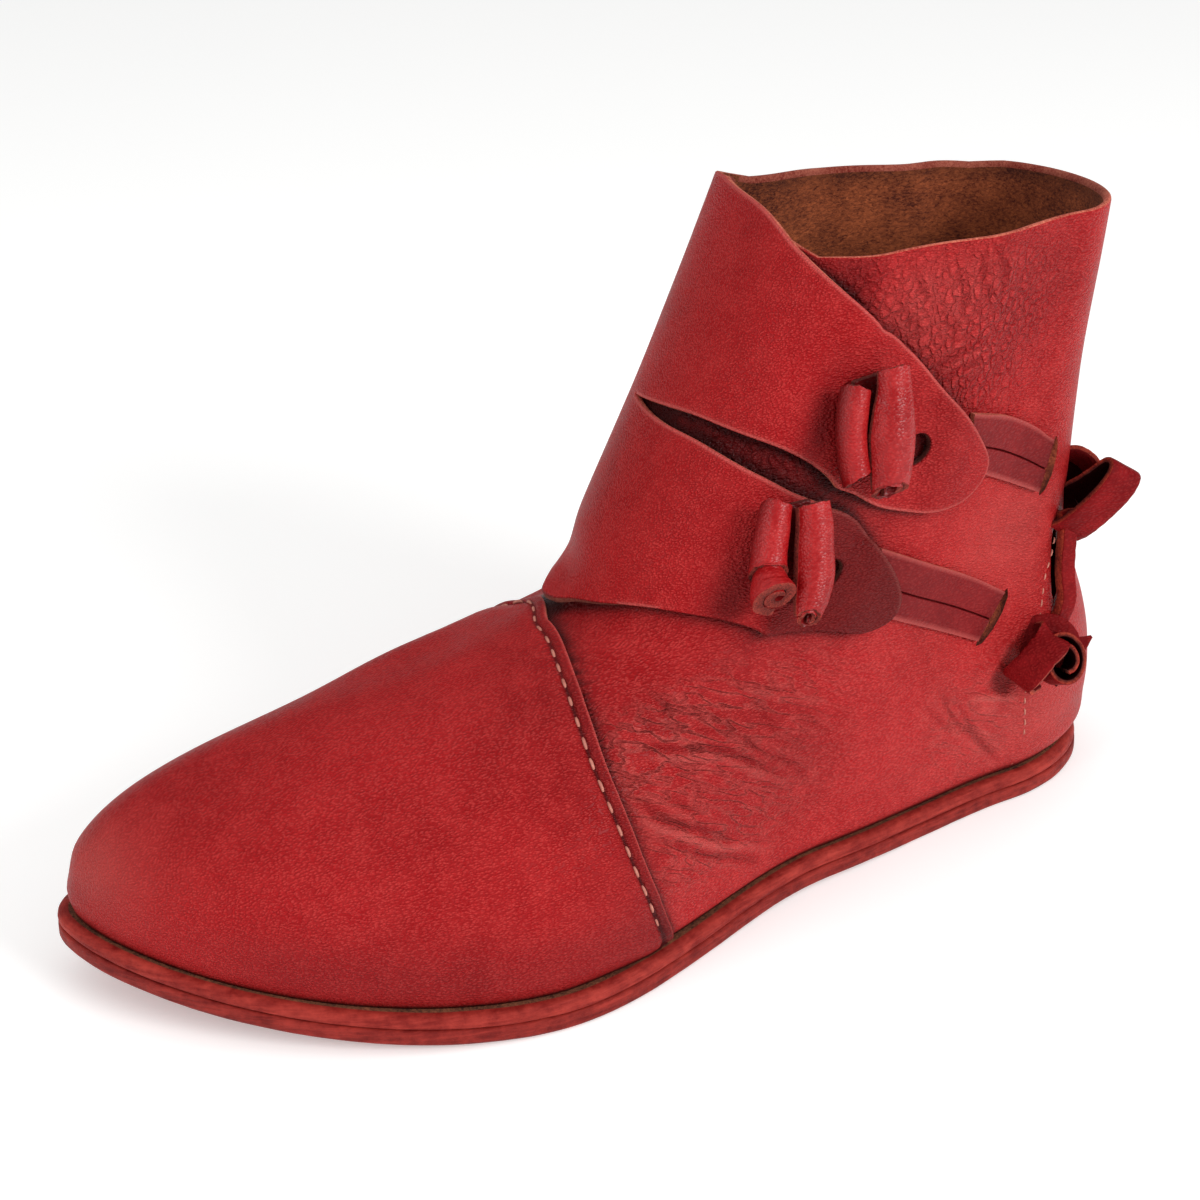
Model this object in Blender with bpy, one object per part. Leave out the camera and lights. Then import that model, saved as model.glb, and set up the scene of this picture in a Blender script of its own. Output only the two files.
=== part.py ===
"""Medieval ankle boot, left foot: a leather shell on a two-layer sole, closed by a wrapped flap with
two rolled toggles. Toe towards -Y, outer side towards +X, floor at Z = 0. Tables are in millimetres."""

import bpy
import numpy as np
from mathutils import Matrix, Vector
from mathutils.geometry import delaunay_2d_cdt

MM = 0.001
LENGTH = 285.0
OUTSOLE, MIDSOLE, INSOLE = 4.0, 3.3, 2.0
GAP = 0.3
WALL = 1.8
SOLE_TOP = OUTSOLE + GAP + MIDSOLE

# The toe rises from the tread behind the ball; the waist is a little hollow.
TOE_SPRING, SPRING_FROM = 13.5, -38.0
ARCH, ARCH_FROM, ARCH_TO = 0.8, -10.0, 80.0
SETTLE = 30.0

# Each row is one level line round the boot. toe and back are its ends, and ball, waist and heel are the
# stations where its outer (lat) and inner (med) half widths are given. nose is how full the front end is.
COLUMNS = ("z", "toe_y", "toe_x", "ball_y", "ball_lat", "ball_med", "waist_y", "waist_lat", "waist_med",
           "heel_y", "heel_lat", "heel_med", "back_y", "nose_lat", "nose_med")
SOLE_LINE = (0, -143, -15, -44, 58.5, -43.5, 38, 38.5, -29.5, 102, 31.5, -31.5, 142.5, 1.66, 2.0)
LEVELS = np.array([
    (7.9, -138.5, -15.0, -44, 54.0, -39.5, 38, 35.5, -26.0, 102, 28.5, -28.5, 139.5, 1.66, 2.00),
    (14, -138.5, -15.0, -44, 56.0, -42.0, 38, 37.5, -28.5, 102, 30.5, -30.5, 143.0, 1.70, 2.00),
    (24, -136.0, -15.5, -43, 56.0, -41.5, 38, 38.5, -30.5, 102, 32.0, -31.5, 144.5, 1.75, 1.95),
    (36, -124.0, -15.5, -40, 52.5, -38.0, 38, 39.0, -32.0, 102, 32.0, -31.5, 143.5, 1.80, 1.90),
    (47, -105.0, -14.0, -33, 46.5, -34.0, 38, 39.0, -33.0, 102, 31.5, -31.0, 140.5, 1.80, 1.80),
    (57, -81.0, -9.0, -20, 40.5, -32.0, 40, 38.0, -33.5, 102, 30.5, -30.5, 136.5, 1.80, 1.68),
    (66, -47.0, -2.0, -3, 37.5, -28.0, 46, 37.0, -33.5, 102, 29.5, -30.0, 133.0, 1.80, 1.55),
    (76, -15.0, 3.0, 18, 36.5, -31.5, 54, 36.5, -34.0, 102, 28.5, -29.5, 130.5, 1.80, 1.65),
    (92, -5.5, 2.0, 31, 35.5, -33.5, 62, 35.5, -34.0, 104, 29.0, -29.0, 130.0, 1.90, 1.85),
    (120, 12.5, 0.0, 43, 34.0, -33.0, 72, 35.0, -34.0, 106, 29.5, -29.5, 130.5, 2.00, 2.00),
    (148, 27.5, 0.0, 52, 33.0, -32.5, 80, 36.0, -36.0, 110, 31.0, -31.0, 132.5, 2.00, 2.00),
    (172, 40.0, 0.0, 59, 32.5, -32.0, 85, 37.0, -37.0, 112, 32.0, -32.0, 134.5, 2.00, 2.00),
])
LEVELS[0, 0] = SOLE_TOP + GAP

# Height of the collar at a turn round the ankle, in degrees: 0 in front, 180 behind, plus on the outer side.
COLLAR = np.array([(-180, 160), (-120, 160.5), (-75, 161), (-50, 164), (-26, 168.3), (10, 165.5), (46, 159.5),
                   (120, 161.5), (180, 160)])

# The vamp laps over the quarters along this line, seen from the side: place along the foot at each height.
SEAM = np.array([(7, -17), (21, -22.5), (39, -27), (57, -27.5), (69, -25.4), (74, -22.6), (80, -17)])
LAP_RUN = np.array([(0.0, 1.3), (5.0, 1.0), (10.0, 0.4), (16.0, -0.4)])
LAP_ROOT = -0.9

for old in list(bpy.data.objects):
    bpy.data.objects.remove(old)


def smooth_row(table, place):
    """A row between the rows of a table, with no corner at them."""
    place = np.clip(np.asarray(place, float), 0, len(table) - 1)
    i = np.minimum(np.floor(place).astype(int), len(table) - 2)
    f = (place - i)[..., None]
    here, after = table[i], table[i + 1]
    before = np.where((i == 0)[..., None], 2 * here - after, table[np.maximum(i - 1, 0)])
    beyond = np.where((i == len(table) - 2)[..., None], 2 * after - here,
                      table[np.minimum(i + 2, len(table) - 1)])
    return 0.5 * (2 * here + (after - before) * f + (2 * before - 5 * here + 4 * after - beyond) * f ** 2
                  + (3 * here - before - 3 * after + beyond) * f ** 3)


FINE = np.linspace(0, len(LEVELS) - 1, 900)
FINE_Z = smooth_row(LEVELS, FINE)[:, 0]


def level_line(rows, turn):
    """x and y on level lines at a turn: the front nose to 90, the sides to 135, the round heel to 180."""
    r = {name: rows[..., k] for k, name in enumerate(COLUMNS)}
    outer = turn >= 0
    a = np.abs(turn)
    pick = {k: np.where(outer, r[k + "_lat"], r[k + "_med"]) for k in ("ball", "waist", "heel", "nose")}
    nose = np.radians(np.clip(a, 0, 90))
    run = np.clip(np.cos(nose), 0, 1) ** (2 / pick["nose"])
    x_nose = r["toe_x"] * run ** 2 + pick["ball"] * np.sin(nose) ** (2 / pick["nose"])
    y_nose = r["ball_y"] - (r["ball_y"] - r["toe_y"]) * run
    y_side = r["ball_y"] + np.clip((a - 90) / 45, 0, 1) * (r["heel_y"] - r["ball_y"])
    slope = 0.35 * (pick["heel"] - pick["ball"]) / (r["heel_y"] - r["ball_y"])

    def between(y0, y1, w0, w1, m0, m1):
        h = y1 - y0
        q = np.clip((y_side - y0) / h, 0, 1)
        return (w0 * (1 + 2 * q) * (1 - q) ** 2 + h * m0 * q * (1 - q) ** 2
                + w1 * q * q * (3 - 2 * q) + h * m1 * q * q * (q - 1))

    x_side = np.where(y_side < r["waist_y"],
                      between(r["ball_y"], r["waist_y"], pick["ball"], pick["waist"], 0, slope),
                      between(r["waist_y"], r["heel_y"], pick["waist"], pick["heel"], slope, 0))
    heel = np.radians(np.clip((a - 135) * 2, 0, 90))
    x_heel = pick["heel"] * np.cos(heel)
    y_heel = r["heel_y"] + (r["back_y"] - r["heel_y"]) * np.sin(heel)
    x = np.where(a <= 90, x_nose, np.where(a <= 135, x_side, x_heel))
    y = np.where(a <= 90, y_nose, np.where(a <= 135, y_side, y_heel))
    return x, y


def rise(y):
    """How far the toe spring lifts everything at a place along the foot."""
    run = np.clip((SPRING_FROM - y) / (LENGTH / 2 + SPRING_FROM), 0, None)
    return TOE_SPRING * run ** 2


def hollow(y):
    run = np.clip((y - ARCH_FROM) / (ARCH_TO - ARCH_FROM), 0, 1)
    return ARCH * np.sin(np.pi * run) ** 2


def wall(turn, z, lift=0.0):
    """Points on the upper's outer face at turns and heights, moved out by a lift along its normal."""
    turn, z, lift = np.broadcast_arrays(*(np.asarray(value, float) for value in (turn, z, lift)))

    def on(turn, z):
        turn = (turn + 180) % 360 - 180
        x, y = level_line(smooth_row(LEVELS, np.interp(z, FINE_Z, FINE)), turn)
        settle = np.clip(1 - (z - FINE_Z[0]) / SETTLE, 0, 1)
        return np.stack([x, y, z + rise(y) + settle * hollow(y)], axis=-1)

    across = on(turn + 0.4, z) - on(turn - 0.4, z)
    up = on(turn, z + 0.3) - on(turn, np.maximum(z - 0.3, FINE_Z[0]))
    normal = np.cross(across, up)
    normal /= np.linalg.norm(normal, axis=-1, keepdims=True)
    return on(turn, z) + normal * lift[..., None]


def turns(nose, side, heel):
    """Turns round a level line, closer where it bends more."""
    half = np.concatenate([np.linspace(0, 90, nose, endpoint=False),
                           np.linspace(90, 135, side, endpoint=False), np.linspace(135, 180, heel + 1)])
    return np.concatenate([half, -half[1:-1][::-1]])


def leather(name, colour, rough=0.55):
    made = bpy.data.materials.new(name)
    made.use_nodes = True
    shader = made.node_tree.nodes["Principled BSDF"]
    shader.inputs["Base Color"].default_value = (*colour, 1)
    shader.inputs["Roughness"].default_value = rough
    return made


def piece(name, points, faces, material):
    mesh = bpy.data.meshes.new(name)
    mesh.from_pydata((np.asarray(points) * MM).tolist(), [], [list(map(int, f)) for f in faces])
    mesh.validate()
    mesh.materials.append(material)
    mesh.calc_loop_triangles()
    if sum(np.linalg.det([mesh.vertices[v].co for v in t.vertices]) for t in mesh.loop_triangles) < 0:
        mesh.flip_normals()
    made = bpy.data.objects.new(name, mesh)
    bpy.context.scene.collection.objects.link(made)
    return made


def band(rows, columns, start=0, closed=True, flip=False):
    """Quads over a grid of points numbered row by row."""
    faces = []
    for i in range(rows - 1):
        for j in range(columns if closed else columns - 1):
            k = (j + 1) % columns
            quad = [start + i * columns + j, start + i * columns + k, start + (i + 1) * columns + k,
                    start + (i + 1) * columns + j]
            faces.append(quad[::-1] if flip else quad)
    return faces


def combine(target, other, operation):
    """Booleans the other solid into the target and drops it."""
    step = target.modifiers.new(other.name, "BOOLEAN")
    step.operation, step.object, step.solver = operation, other, "EXACT"
    bpy.context.view_layer.objects.active = target
    bpy.ops.object.modifier_apply(modifier=step.name)
    bpy.data.objects.remove(other)


# Soles: rings of one outline at a few heights, with ladder faces closing the top and bottom.
SOLE_TURNS = turns(14, 10, 6)


def layer(name, line, inset, low, high, material):
    x, y = level_line(np.tile(np.array(line, float), (len(SOLE_TURNS), 1)), SOLE_TURNS)
    step_x, step_y = np.roll(x, -1) - np.roll(x, 1), np.roll(y, -1) - np.roll(y, 1)
    size = np.hypot(step_x, step_y)
    out_x, out_y = step_y / size, -step_x / size
    rings = []
    for depth, z in ((0.5, low), (0.0, low + 0.6), (0.0, high - 0.6), (0.5, high)):
        px, py = x - out_x * (inset + depth), y - out_y * (inset + depth)
        rings.append(np.stack([px, py, z + rise(py) + hollow(py)], axis=-1))
    n = len(SOLE_TURNS)
    faces = band(4, n)
    for ring, up in ((0, False), (3, True)):
        for i in range(n // 2):
            a, b = i, i + 1
            c, d = (n - b) % n, (n - a) % n
            rung = [a, b, c, d]
            rung = list(dict.fromkeys(rung))
            rung = [ring * n + v for v in rung]
            faces.append(rung if up else rung[::-1])
    return piece(name, np.concatenate(rings), faces, material)


sole_leather = leather("sole_leather", (0.22, 0.055, 0.035))
layer("outsole", SOLE_LINE, 0.0, 0.0, OUTSOLE, sole_leather)
layer("midsole", SOLE_LINE, 0.5, OUTSOLE + GAP, SOLE_TOP, leather("midsole_leather", (0.25, 0.07, 0.045)))
layer("insole", LEVELS[0], WALL + 0.9, SOLE_TOP + GAP, SOLE_TOP + GAP + INSOLE,
      leather("insole_leather", (0.25, 0.13, 0.07)))

# Upper: an outer and an inner face, joined round the collar and round the bottom edge.
UPPER_TURNS = turns(13, 8, 6)
# Rows as places in the table of levels, closer at the throat where the front line bends in.
ROW_PLACES = np.concatenate([np.arange(0, 6, 0.5), np.arange(6, 9, 0.25), np.linspace(9, 10.5, 4)])
UPPER_ROWS = len(ROW_PLACES)
top = np.interp(UPPER_TURNS, COLLAR[:, 0], COLLAR[:, 1])
top_level = np.interp(top, FINE_Z, FINE)
share = (ROW_PLACES / ROW_PLACES[-1])[:, None]
heights = np.interp(share * top_level[None], FINE, FINE_Z)
outside = wall(UPPER_TURNS[None], heights)
INNER_ROWS = [*range(0, 12, 2), *range(12, 25), UPPER_ROWS - 1]
inside = wall(UPPER_TURNS[None], heights[INNER_ROWS], -WALL)
inside[0, :, 2] = outside[0, :, 2]
inside[-1, :, 2] = outside[-1, :, 2]
n = len(UPPER_TURNS)
faces = band(UPPER_ROWS, n) + band(len(INNER_ROWS), n, UPPER_ROWS * n, flip=True)
last, last_inner = (UPPER_ROWS - 1) * n, (UPPER_ROWS + len(INNER_ROWS) - 1) * n
for j in range(n):
    k = (j + 1) % n
    faces.append([last + j, last + k, last_inner + k, last_inner + j])
    faces.append([k, j, UPPER_ROWS * n + j, UPPER_ROWS * n + k])
red_leather = leather("red_leather", (0.30, 0.035, 0.030), 0.5)
upper = piece("upper", np.concatenate([outside.reshape(-1, 3), inside.reshape(-1, 3)]), faces, red_leather)


def sheet(name, outer, inner, rows, columns, material):
    """A closed sheet between two grids of points."""
    n = rows * columns
    faces = band(rows, columns, 0, False) + band(rows, columns, n, False, True)
    rim = ([j for j in range(columns)] + [i * columns + columns - 1 for i in range(1, rows)]
           + [(rows - 1) * columns + j for j in range(columns - 2, -1, -1)]
           + [i * columns for i in range(rows - 2, 0, -1)])
    for a, b in zip(rim, rim[1:] + rim[:1]):
        faces.append([b, a, n + a, n + b])
    return piece(name, np.concatenate([outer.reshape(-1, 3), inner.reshape(-1, 3)]), faces, material)


def seam_places(forward, count):
    """Turns and heights along the vamp seam, moved forward, from its inner foot to its outer foot."""
    heights = np.linspace(FINE_Z[0] + 0.4, 110, 700)
    line = np.interp(heights, SEAM[:, 0], SEAM[:, 1]) - forward
    found = []
    for turn in np.linspace(-112, 112, 449):
        y = wall(np.full(len(heights), turn), heights)[:, 1] - line
        cross = np.where((y[:-1] < 0) & (y[1:] >= 0))[0]
        if len(cross):
            i = cross[0]
            found.append((turn, np.interp(0, y[i:i + 2], heights[i:i + 2])))
    found = np.array(found)
    run = np.linalg.norm(np.diff(wall(found[:, 0], found[:, 1]), axis=0), axis=1)
    run = np.concatenate([[0], np.cumsum(run)])
    at = np.linspace(0, run[-1], count)
    return np.interp(at, run, found[:, 0]), np.interp(at, run, found[:, 1])


LAP_COLUMNS = 32
lap = [seam_places(forward, LAP_COLUMNS) for forward, _ in LAP_RUN]
lap_outer = np.array([wall(t, z, lift) for (t, z), lift in zip(lap, LAP_RUN[:, 1])])
lap_inner = np.array([wall(t, z, LAP_ROOT) for t, z in lap])
combine(upper, sheet("vamp_lap", lap_outer, lap_inner, len(LAP_RUN), LAP_COLUMNS, red_leather), "UNION")


def outer_turn(y, z):
    """The turn on the outer side at a place along the foot and a height."""
    sweep = np.linspace(0, 180, 721)
    return float(np.interp(y, wall(sweep, np.full(len(sweep), z))[:, 1], sweep))


def soft(value):
    value = np.clip(value, 0, 1)
    return value * value * (3 - 2 * value)


# Slots in the outer quarter, as upper and lower ends seen from the side: (y, z) of each.
SLOTS = {"upper": ((110.3, 103.0), (105.9, 87.8)), "lower": ((96.9, 64.5), (85.8, 51.7))}
SLOT_WIDE, SLOT_DEEP = 1.8, 8.0


def frame_at(turn, z, lift):
    """A point off the upper with its outward normal, the upward way along it and the way round it."""
    point = wall(turn, z, lift)
    normal = wall(turn, z, lift + 1) - point
    upward = np.array([0, 0, 1.0]) - normal * normal[2]
    upward /= np.linalg.norm(upward)
    return point, normal, upward, np.cross(upward, normal)


for name, ends in SLOTS.items():
    ends = [wall(outer_turn(y, z), z) for y, z in ends]
    middle_z = (ends[0][2] + ends[1][2]) / 2
    middle_y = (ends[0][1] + ends[1][1]) / 2
    _, normal, _, _ = frame_at(outer_turn(middle_y, middle_z), middle_z, 0)
    along = ends[0] - ends[1]
    across = np.cross(along / np.linalg.norm(along), normal)
    corners = []
    for depth in (-SLOT_DEEP / 2, SLOT_DEEP / 2):
        for end, side in ((0, -1), (0, 1), (1, 1), (1, -1)):
            corners.append(ends[end] + across * side * SLOT_WIDE / 2 + normal * depth)
    box = [(0, 1, 2, 3), (7, 6, 5, 4), (0, 4, 5, 1), (1, 5, 6, 2), (2, 6, 7, 3), (3, 7, 4, 0)]
    combine(upper, piece("slot_" + name, corners, box, red_leather), "DIFFERENCE")

# Wrapped flap: its outline as runs between corners, in turns round the ankle and heights.
FLAP_RUNS = [
    np.array([(-75, 161.5), (-50, 165.0), (-26, 169.5)]),
    np.array([(-26, 169.5), (17, 166.2), (46, 159.8), (91, 143.8), (110, 124.5), (119, 110), (122, 102),
              (119.5, 97.4), (112, 95.5), (104, 97.8), (95, 104.4), (85, 110), (43, 119), (10, 121.2),
              (-18, 119.6)]),
    np.array([(-18, 119.6), (5, 118.9), (28, 117.4), (55, 112.8), (80, 106.3), (96.5, 98.2), (102.4, 90),
              (107.4, 81.9), (111.5, 74.5), (112.5, 71.2), (110.8, 69.3), (107, 69.8), (97, 73.4), (80, 77.1),
              (52, 80.0), (26, 79.0), (-6, 75.2)]),
    np.array([(-6, 75.2), (-40, 79), (-75, 84)]),
]
FLAP_ROOT = (-75.0, 84.0, 161.5)
BUTTONHOLES = ((105.4, 113.0), (98.3, 86.4))
HOLE_RADIUS = 2.5
FLAP_GRID = 7.0
DEGREE = 1.6  # millimetres a degree of turn covers at the ankle, near enough for spacing
STRAP_THICK = 1.4
FLAP_GAP = 0.6
# Where each tab starts to lift over its strap: turn, and by how much over how many degrees.
TIP_LIFT, TIP_RUN = STRAP_THICK + GAP, 8.0
TIP_FROM = {"upper": 103.0, "lower": 95.0}
TAB_SPLIT = 93.0


def flap_under(turn, z):
    """Lift of the flap's inner face."""
    start = np.where(z > TAB_SPLIT, TIP_FROM["upper"], TIP_FROM["lower"])
    return FLAP_GAP + TIP_LIFT * soft((turn - start) / TIP_RUN)


def flap_thick(turn):
    return 0.5 + (WALL - 0.5) * soft((turn - FLAP_ROOT[0]) / 35)


edge = []
for run in FLAP_RUNS:
    edge.extend(smooth_row(run, np.linspace(0, len(run) - 1, 3 * (len(run) - 1) + 1))[:-1])
edge.extend(np.column_stack([np.full(10, FLAP_ROOT[0]), np.linspace(FLAP_ROOT[1], FLAP_ROOT[2], 11)[:-1]]))
edge = np.array(edge)
holes = []
for turn, z in BUTTONHOLES:
    degree = np.linalg.norm(wall(turn + 0.5, z) - wall(turn - 0.5, z))
    angle = np.linspace(0, 2 * np.pi, 12, endpoint=False)
    circle = HOLE_RADIUS * np.column_stack([np.cos(angle) / degree, np.sin(angle)])
    holes.append(np.array([turn, z]) + circle)


def inside_edge(points, outline):
    a, b = outline, np.roll(outline, -1, axis=0)
    over = (a[None, :, 1] > points[:, None, 1]) != (b[None, :, 1] > points[:, None, 1])
    rise_y = np.where(b[:, 1] == a[:, 1], 1e-9, b[:, 1] - a[:, 1])
    at = a[None, :, 0] + (points[:, None, 1] - a[None, :, 1]) / rise_y[None] * (b[:, 0] - a[:, 0])[None]
    return (over & (points[:, None, 0] < at)).sum(axis=1) % 2 == 1


flat = np.array([DEGREE, 1.0])
grid_t, grid_z = np.meshgrid(np.arange(-70, 122, FLAP_GRID / DEGREE), np.arange(72, 170, FLAP_GRID))
inner_points = np.column_stack([grid_t.ravel(), grid_z.ravel()])
inner_points = inner_points[inside_edge(inner_points, edge)]
for outline in [edge] + holes:
    away = np.linalg.norm((inner_points[:, None] - outline[None]) * flat, axis=2).min(axis=1)
    inner_points = inner_points[away > 0.45 * FLAP_GRID]
loops = [edge] + holes
points_2d = np.concatenate(loops + [inner_points])
edges_2d, begin = [], 0
for outline in loops:
    edges_2d += [(begin + i, begin + (i + 1) % len(outline)) for i in range(len(outline))]
    begin += len(outline)
filled = delaunay_2d_cdt([Vector(p * flat) for p in points_2d], edges_2d, [], 1, 1e-6)
verts_2d, tris = filled[0], filled[2]
placed = np.array([(v[0] / DEGREE, v[1]) for v in verts_2d])
tris = np.array([list(t) for t in tris])
centres = placed[tris].mean(axis=1)
for outline in holes:
    keep = ~inside_edge(centres, outline)
    tris, centres = tris[keep], centres[keep]
under = flap_under(placed[:, 0], placed[:, 1])
flap_out = wall(placed[:, 0], placed[:, 1], under + flap_thick(placed[:, 0]))
flap_in = wall(placed[:, 0], placed[:, 1], under)
count = len(placed)
corner = flap_out[tris]
facing = np.cross(corner[:, 1] - corner[:, 0], corner[:, 2] - corner[:, 0])
away = (flap_out - flap_in)[tris[:, 0]]
tris = np.where(((facing * away).sum(axis=1) < 0)[:, None], tris[:, ::-1], tris)
sides = {}
for t in tris:
    for a, b in zip(t, np.roll(t, -1)):
        sides[(a, b)] = sides.get((a, b), 0) + 1
rim = [(b, a, count + a, count + b) for a, b in sides if (b, a) not in sides]
flap_faces = [tuple(t) for t in tris] + [tuple(t[::-1] + count) for t in tris] + rim
flap_leather = leather("flap_leather", (0.31, 0.04, 0.03), 0.5)
piece("wrap_flap", np.concatenate([flap_out, flap_in]), flap_faces, flap_leather)

# Straps: from under a tab's tip to its slot. Upper and lower edges seen from the side, (y, z) of each end.
STRAPS = {
    "upper": (((77.5, 115.5), (107.4, 103.4)), ((77.5, 103.3), (103.9, 90.0))),
    "lower": (((51.0, 82.0), (94.0, 64.9)), ((51.0, 72.0), (84.6, 54.0))),
}
strap_leather = leather("strap_leather", (0.28, 0.035, 0.03), 0.5)
for name, (upper_edge, lower_edge) in STRAPS.items():
    rows, columns = 5, 9
    run, drop = np.meshgrid(np.linspace(0, 1, columns), np.linspace(0, 1, rows))
    run, drop = run[..., None], drop[..., None]
    low, high = ((1 - run) * np.array(e[0]) + run * np.array(e[1]) for e in (lower_edge, upper_edge))
    side_view = (1 - drop) * low + drop * high
    turn = np.array([[outer_turn(y, z) for y, z in row] for row in side_view])
    height = side_view[..., 1]
    sheet("strap_" + name, wall(turn, height, GAP + STRAP_THICK), wall(turn, height, GAP), rows, columns,
          strap_leather)

# Toggles: a strip rolled into two barrels side by side. Centres and radii across and out from the flap.
TOGGLE_LONG = 33.0
BARRELS = ((4.2, 5.4, 5.4), (-5.0, 4.3, 4.3))
TOGGLES = {"upper": (91.3, 121.9), "lower": (76.2, 94.2)}
TOGGLE_CLEAR = 0.5
# Rings along a toggle: place from one end to the other, and size. It is slimmer where the tie passes.
TOGGLE_RINGS = ((-1, 0.9), (-0.96, 0.98), (-0.5, 1.0), (0, 0.95), (0.5, 1.0), (0.96, 0.98), (1, 0.9))


def barrels_outline():
    (xa, ya, ra), (xb, yb, rb) = BARRELS
    gap = np.array([xb - xa, yb - ya])
    far = np.linalg.norm(gap)
    way = np.arctan2(gap[1], gap[0])
    open_a = np.arccos((far ** 2 + ra ** 2 - rb ** 2) / (2 * far * ra))
    open_b = np.arccos((far ** 2 + rb ** 2 - ra ** 2) / (2 * far * rb))
    ang_a = np.linspace(way + open_a - 2 * np.pi, way - open_a, 13)
    ang_b = np.linspace(way + np.pi + open_b - 2 * np.pi, way + np.pi - open_b, 12)[1:-1]
    first = np.column_stack([xa + ra * np.cos(ang_a), ya + ra * np.sin(ang_a)])
    second = np.column_stack([xb + rb * np.cos(ang_b), yb + rb * np.sin(ang_b)])
    return np.concatenate([first, second])


outline = barrels_outline()
toggle_leather = leather("toggle_leather", (0.30, 0.035, 0.03), 0.45)
for name, (turn, z) in TOGGLES.items():
    point, normal, upward, across = frame_at(turn, z, FLAP_GAP + WALL + TOGGLE_CLEAR)
    rings = []
    for run, scale in TOGGLE_RINGS:
        middle = np.array([0.0, BARRELS[0][1]])
        shape = middle + (outline - middle) * scale
        rings.append(point + upward * run * TOGGLE_LONG / 2 + across * shape[:, :1] + normal * shape[:, 1:])
    n = len(outline)
    ends = [list(range(n)), list(range((len(rings) - 1) * n, len(rings) * n))[::-1]]
    faces = band(len(rings), n, flip=True) + ends
    piece("toggle_" + name, np.concatenate(rings), faces, toggle_leather)


def strip(name, path, breadth, width, thick, closed, material):
    """A flat thong along a path, its width along one way throughout."""
    path = np.asarray(path, float)
    ahead = np.roll(path, -1, axis=0) - np.roll(path, 1, axis=0) if closed else np.gradient(path, axis=0)
    ahead /= np.linalg.norm(ahead, axis=1, keepdims=True)
    breadth = np.asarray(breadth, float) / np.linalg.norm(breadth)
    breadth = breadth - ahead * (ahead @ breadth)[:, None]
    breadth /= np.linalg.norm(breadth, axis=1, keepdims=True)
    out = np.cross(ahead, breadth)
    width = np.broadcast_to(np.asarray(width, float), (len(path),))[:, None]
    wide, deep = breadth * width / 2, out * thick / 2
    ring = [path + wide + deep, path - wide + deep, path - wide - deep, path + wide - deep]
    points = np.stack(ring, axis=1).reshape(-1, 3)
    n = len(path)
    faces = []
    for i in range(n if closed else n - 1):
        j = (i + 1) % n
        for k in range(4):
            m = (k + 1) % 4
            faces.append((4 * i + k, 4 * i + m, 4 * j + m, 4 * j + k))
    if not closed:
        faces += [(3, 2, 1, 0), tuple(4 * (n - 1) + k for k in range(4))]
    return piece(name, points, faces, material)


def loop_path(centre, long_way, short_way, long, short, count):
    angle = np.linspace(0, 2 * np.pi, count, endpoint=False)
    return centre + np.outer(long * np.cos(angle), long_way) + np.outer(short * np.sin(angle), short_way)


# Thong tied at the back of the outer quarter: a loop above, a folded loop with a tail below, a run between.
THONG_THICK = 1.8
thong_leather = leather("thong_leather", (0.24, 0.03, 0.025), 0.5)
LOOP_AXIS = np.array([0.07, -0.63, 0.775])
LOOP_WAY = np.array([0.54, 0.684, 0.5])
LOOP_AXIS = LOOP_AXIS / np.linalg.norm(LOOP_AXIS)
LOOP_WAY = LOOP_WAY - LOOP_AXIS * (LOOP_WAY @ LOOP_AXIS)
LOOP_WAY = LOOP_WAY / np.linalg.norm(LOOP_WAY)
root, normal, upward, across = frame_at(150.5, 81.5, 4.0)
LOOP_LONG, LOOP_SHORT, LOOP_WIDE = 9.0, 7.0, 12.5
loop_side = np.cross(LOOP_AXIS, LOOP_WAY)
ring = loop_path(root + LOOP_WAY * LOOP_LONG, LOOP_WAY, loop_side, LOOP_LONG, LOOP_SHORT, 24)
knot = strip("knot_upper", ring, LOOP_AXIS, LOOP_WIDE, THONG_THICK, True, thong_leather)
stub = [root + upward * 4 + normal * 1.5, root + upward * 9 + normal * 3 - across * 3,
        root + upward * 12 + normal * 2.5 - across * 7]
combine(knot, strip("stub", stub, across + upward, 9, THONG_THICK, False, thong_leather), "UNION")

base, normal, upward, across = frame_at(136.5, 45, 6.4)
FOLD_LONG, FOLD_SHORT, FOLD_WIDE, FOLD_LEAN = 9.5, 5.5, 12.0, np.radians(40)
fold_way = upward * np.cos(FOLD_LEAN) + across * np.sin(FOLD_LEAN)
fold_side = across * np.cos(FOLD_LEAN) - upward * np.sin(FOLD_LEAN)
fold = loop_path(base, fold_way, fold_side, FOLD_LONG, FOLD_SHORT, 20)
knot = strip("knot_lower", fold, normal, FOLD_WIDE, THONG_THICK, True, thong_leather)
ring = loop_path(base + across * 5.5 - normal * 1.5, upward, across, 9.5, 8.5, 20)
combine(knot, strip("ring", ring, normal, 6.0, THONG_THICK, True, thong_leather), "UNION")
tail = [base + across * 9, base + across * 15 - normal * 1.5, base + across * 21 - normal * 4]
combine(knot, strip("tail", tail, upward, (7, 6, 1.5), THONG_THICK, False, thong_leather), "UNION")

strip("back_thong", [wall(150, 75.6, 3.0), wall(149, 69, 2.1), wall(147, 63, 2.1), wall(145.5, 56.5, 2.9)],
      across, 6.0, THONG_THICK, False, thong_leather)

# The origin sits on the floor under the middle of everything.
made = [thing for thing in bpy.data.objects if thing.type == "MESH"]
corners = np.array([vertex.co for thing in made for vertex in thing.data.vertices])
middle = (corners.min(axis=0) + corners.max(axis=0)) / 2
for thing in made:
    thing.data.transform(Matrix.Translation((-middle[0], -middle[1], 0)))
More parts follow.
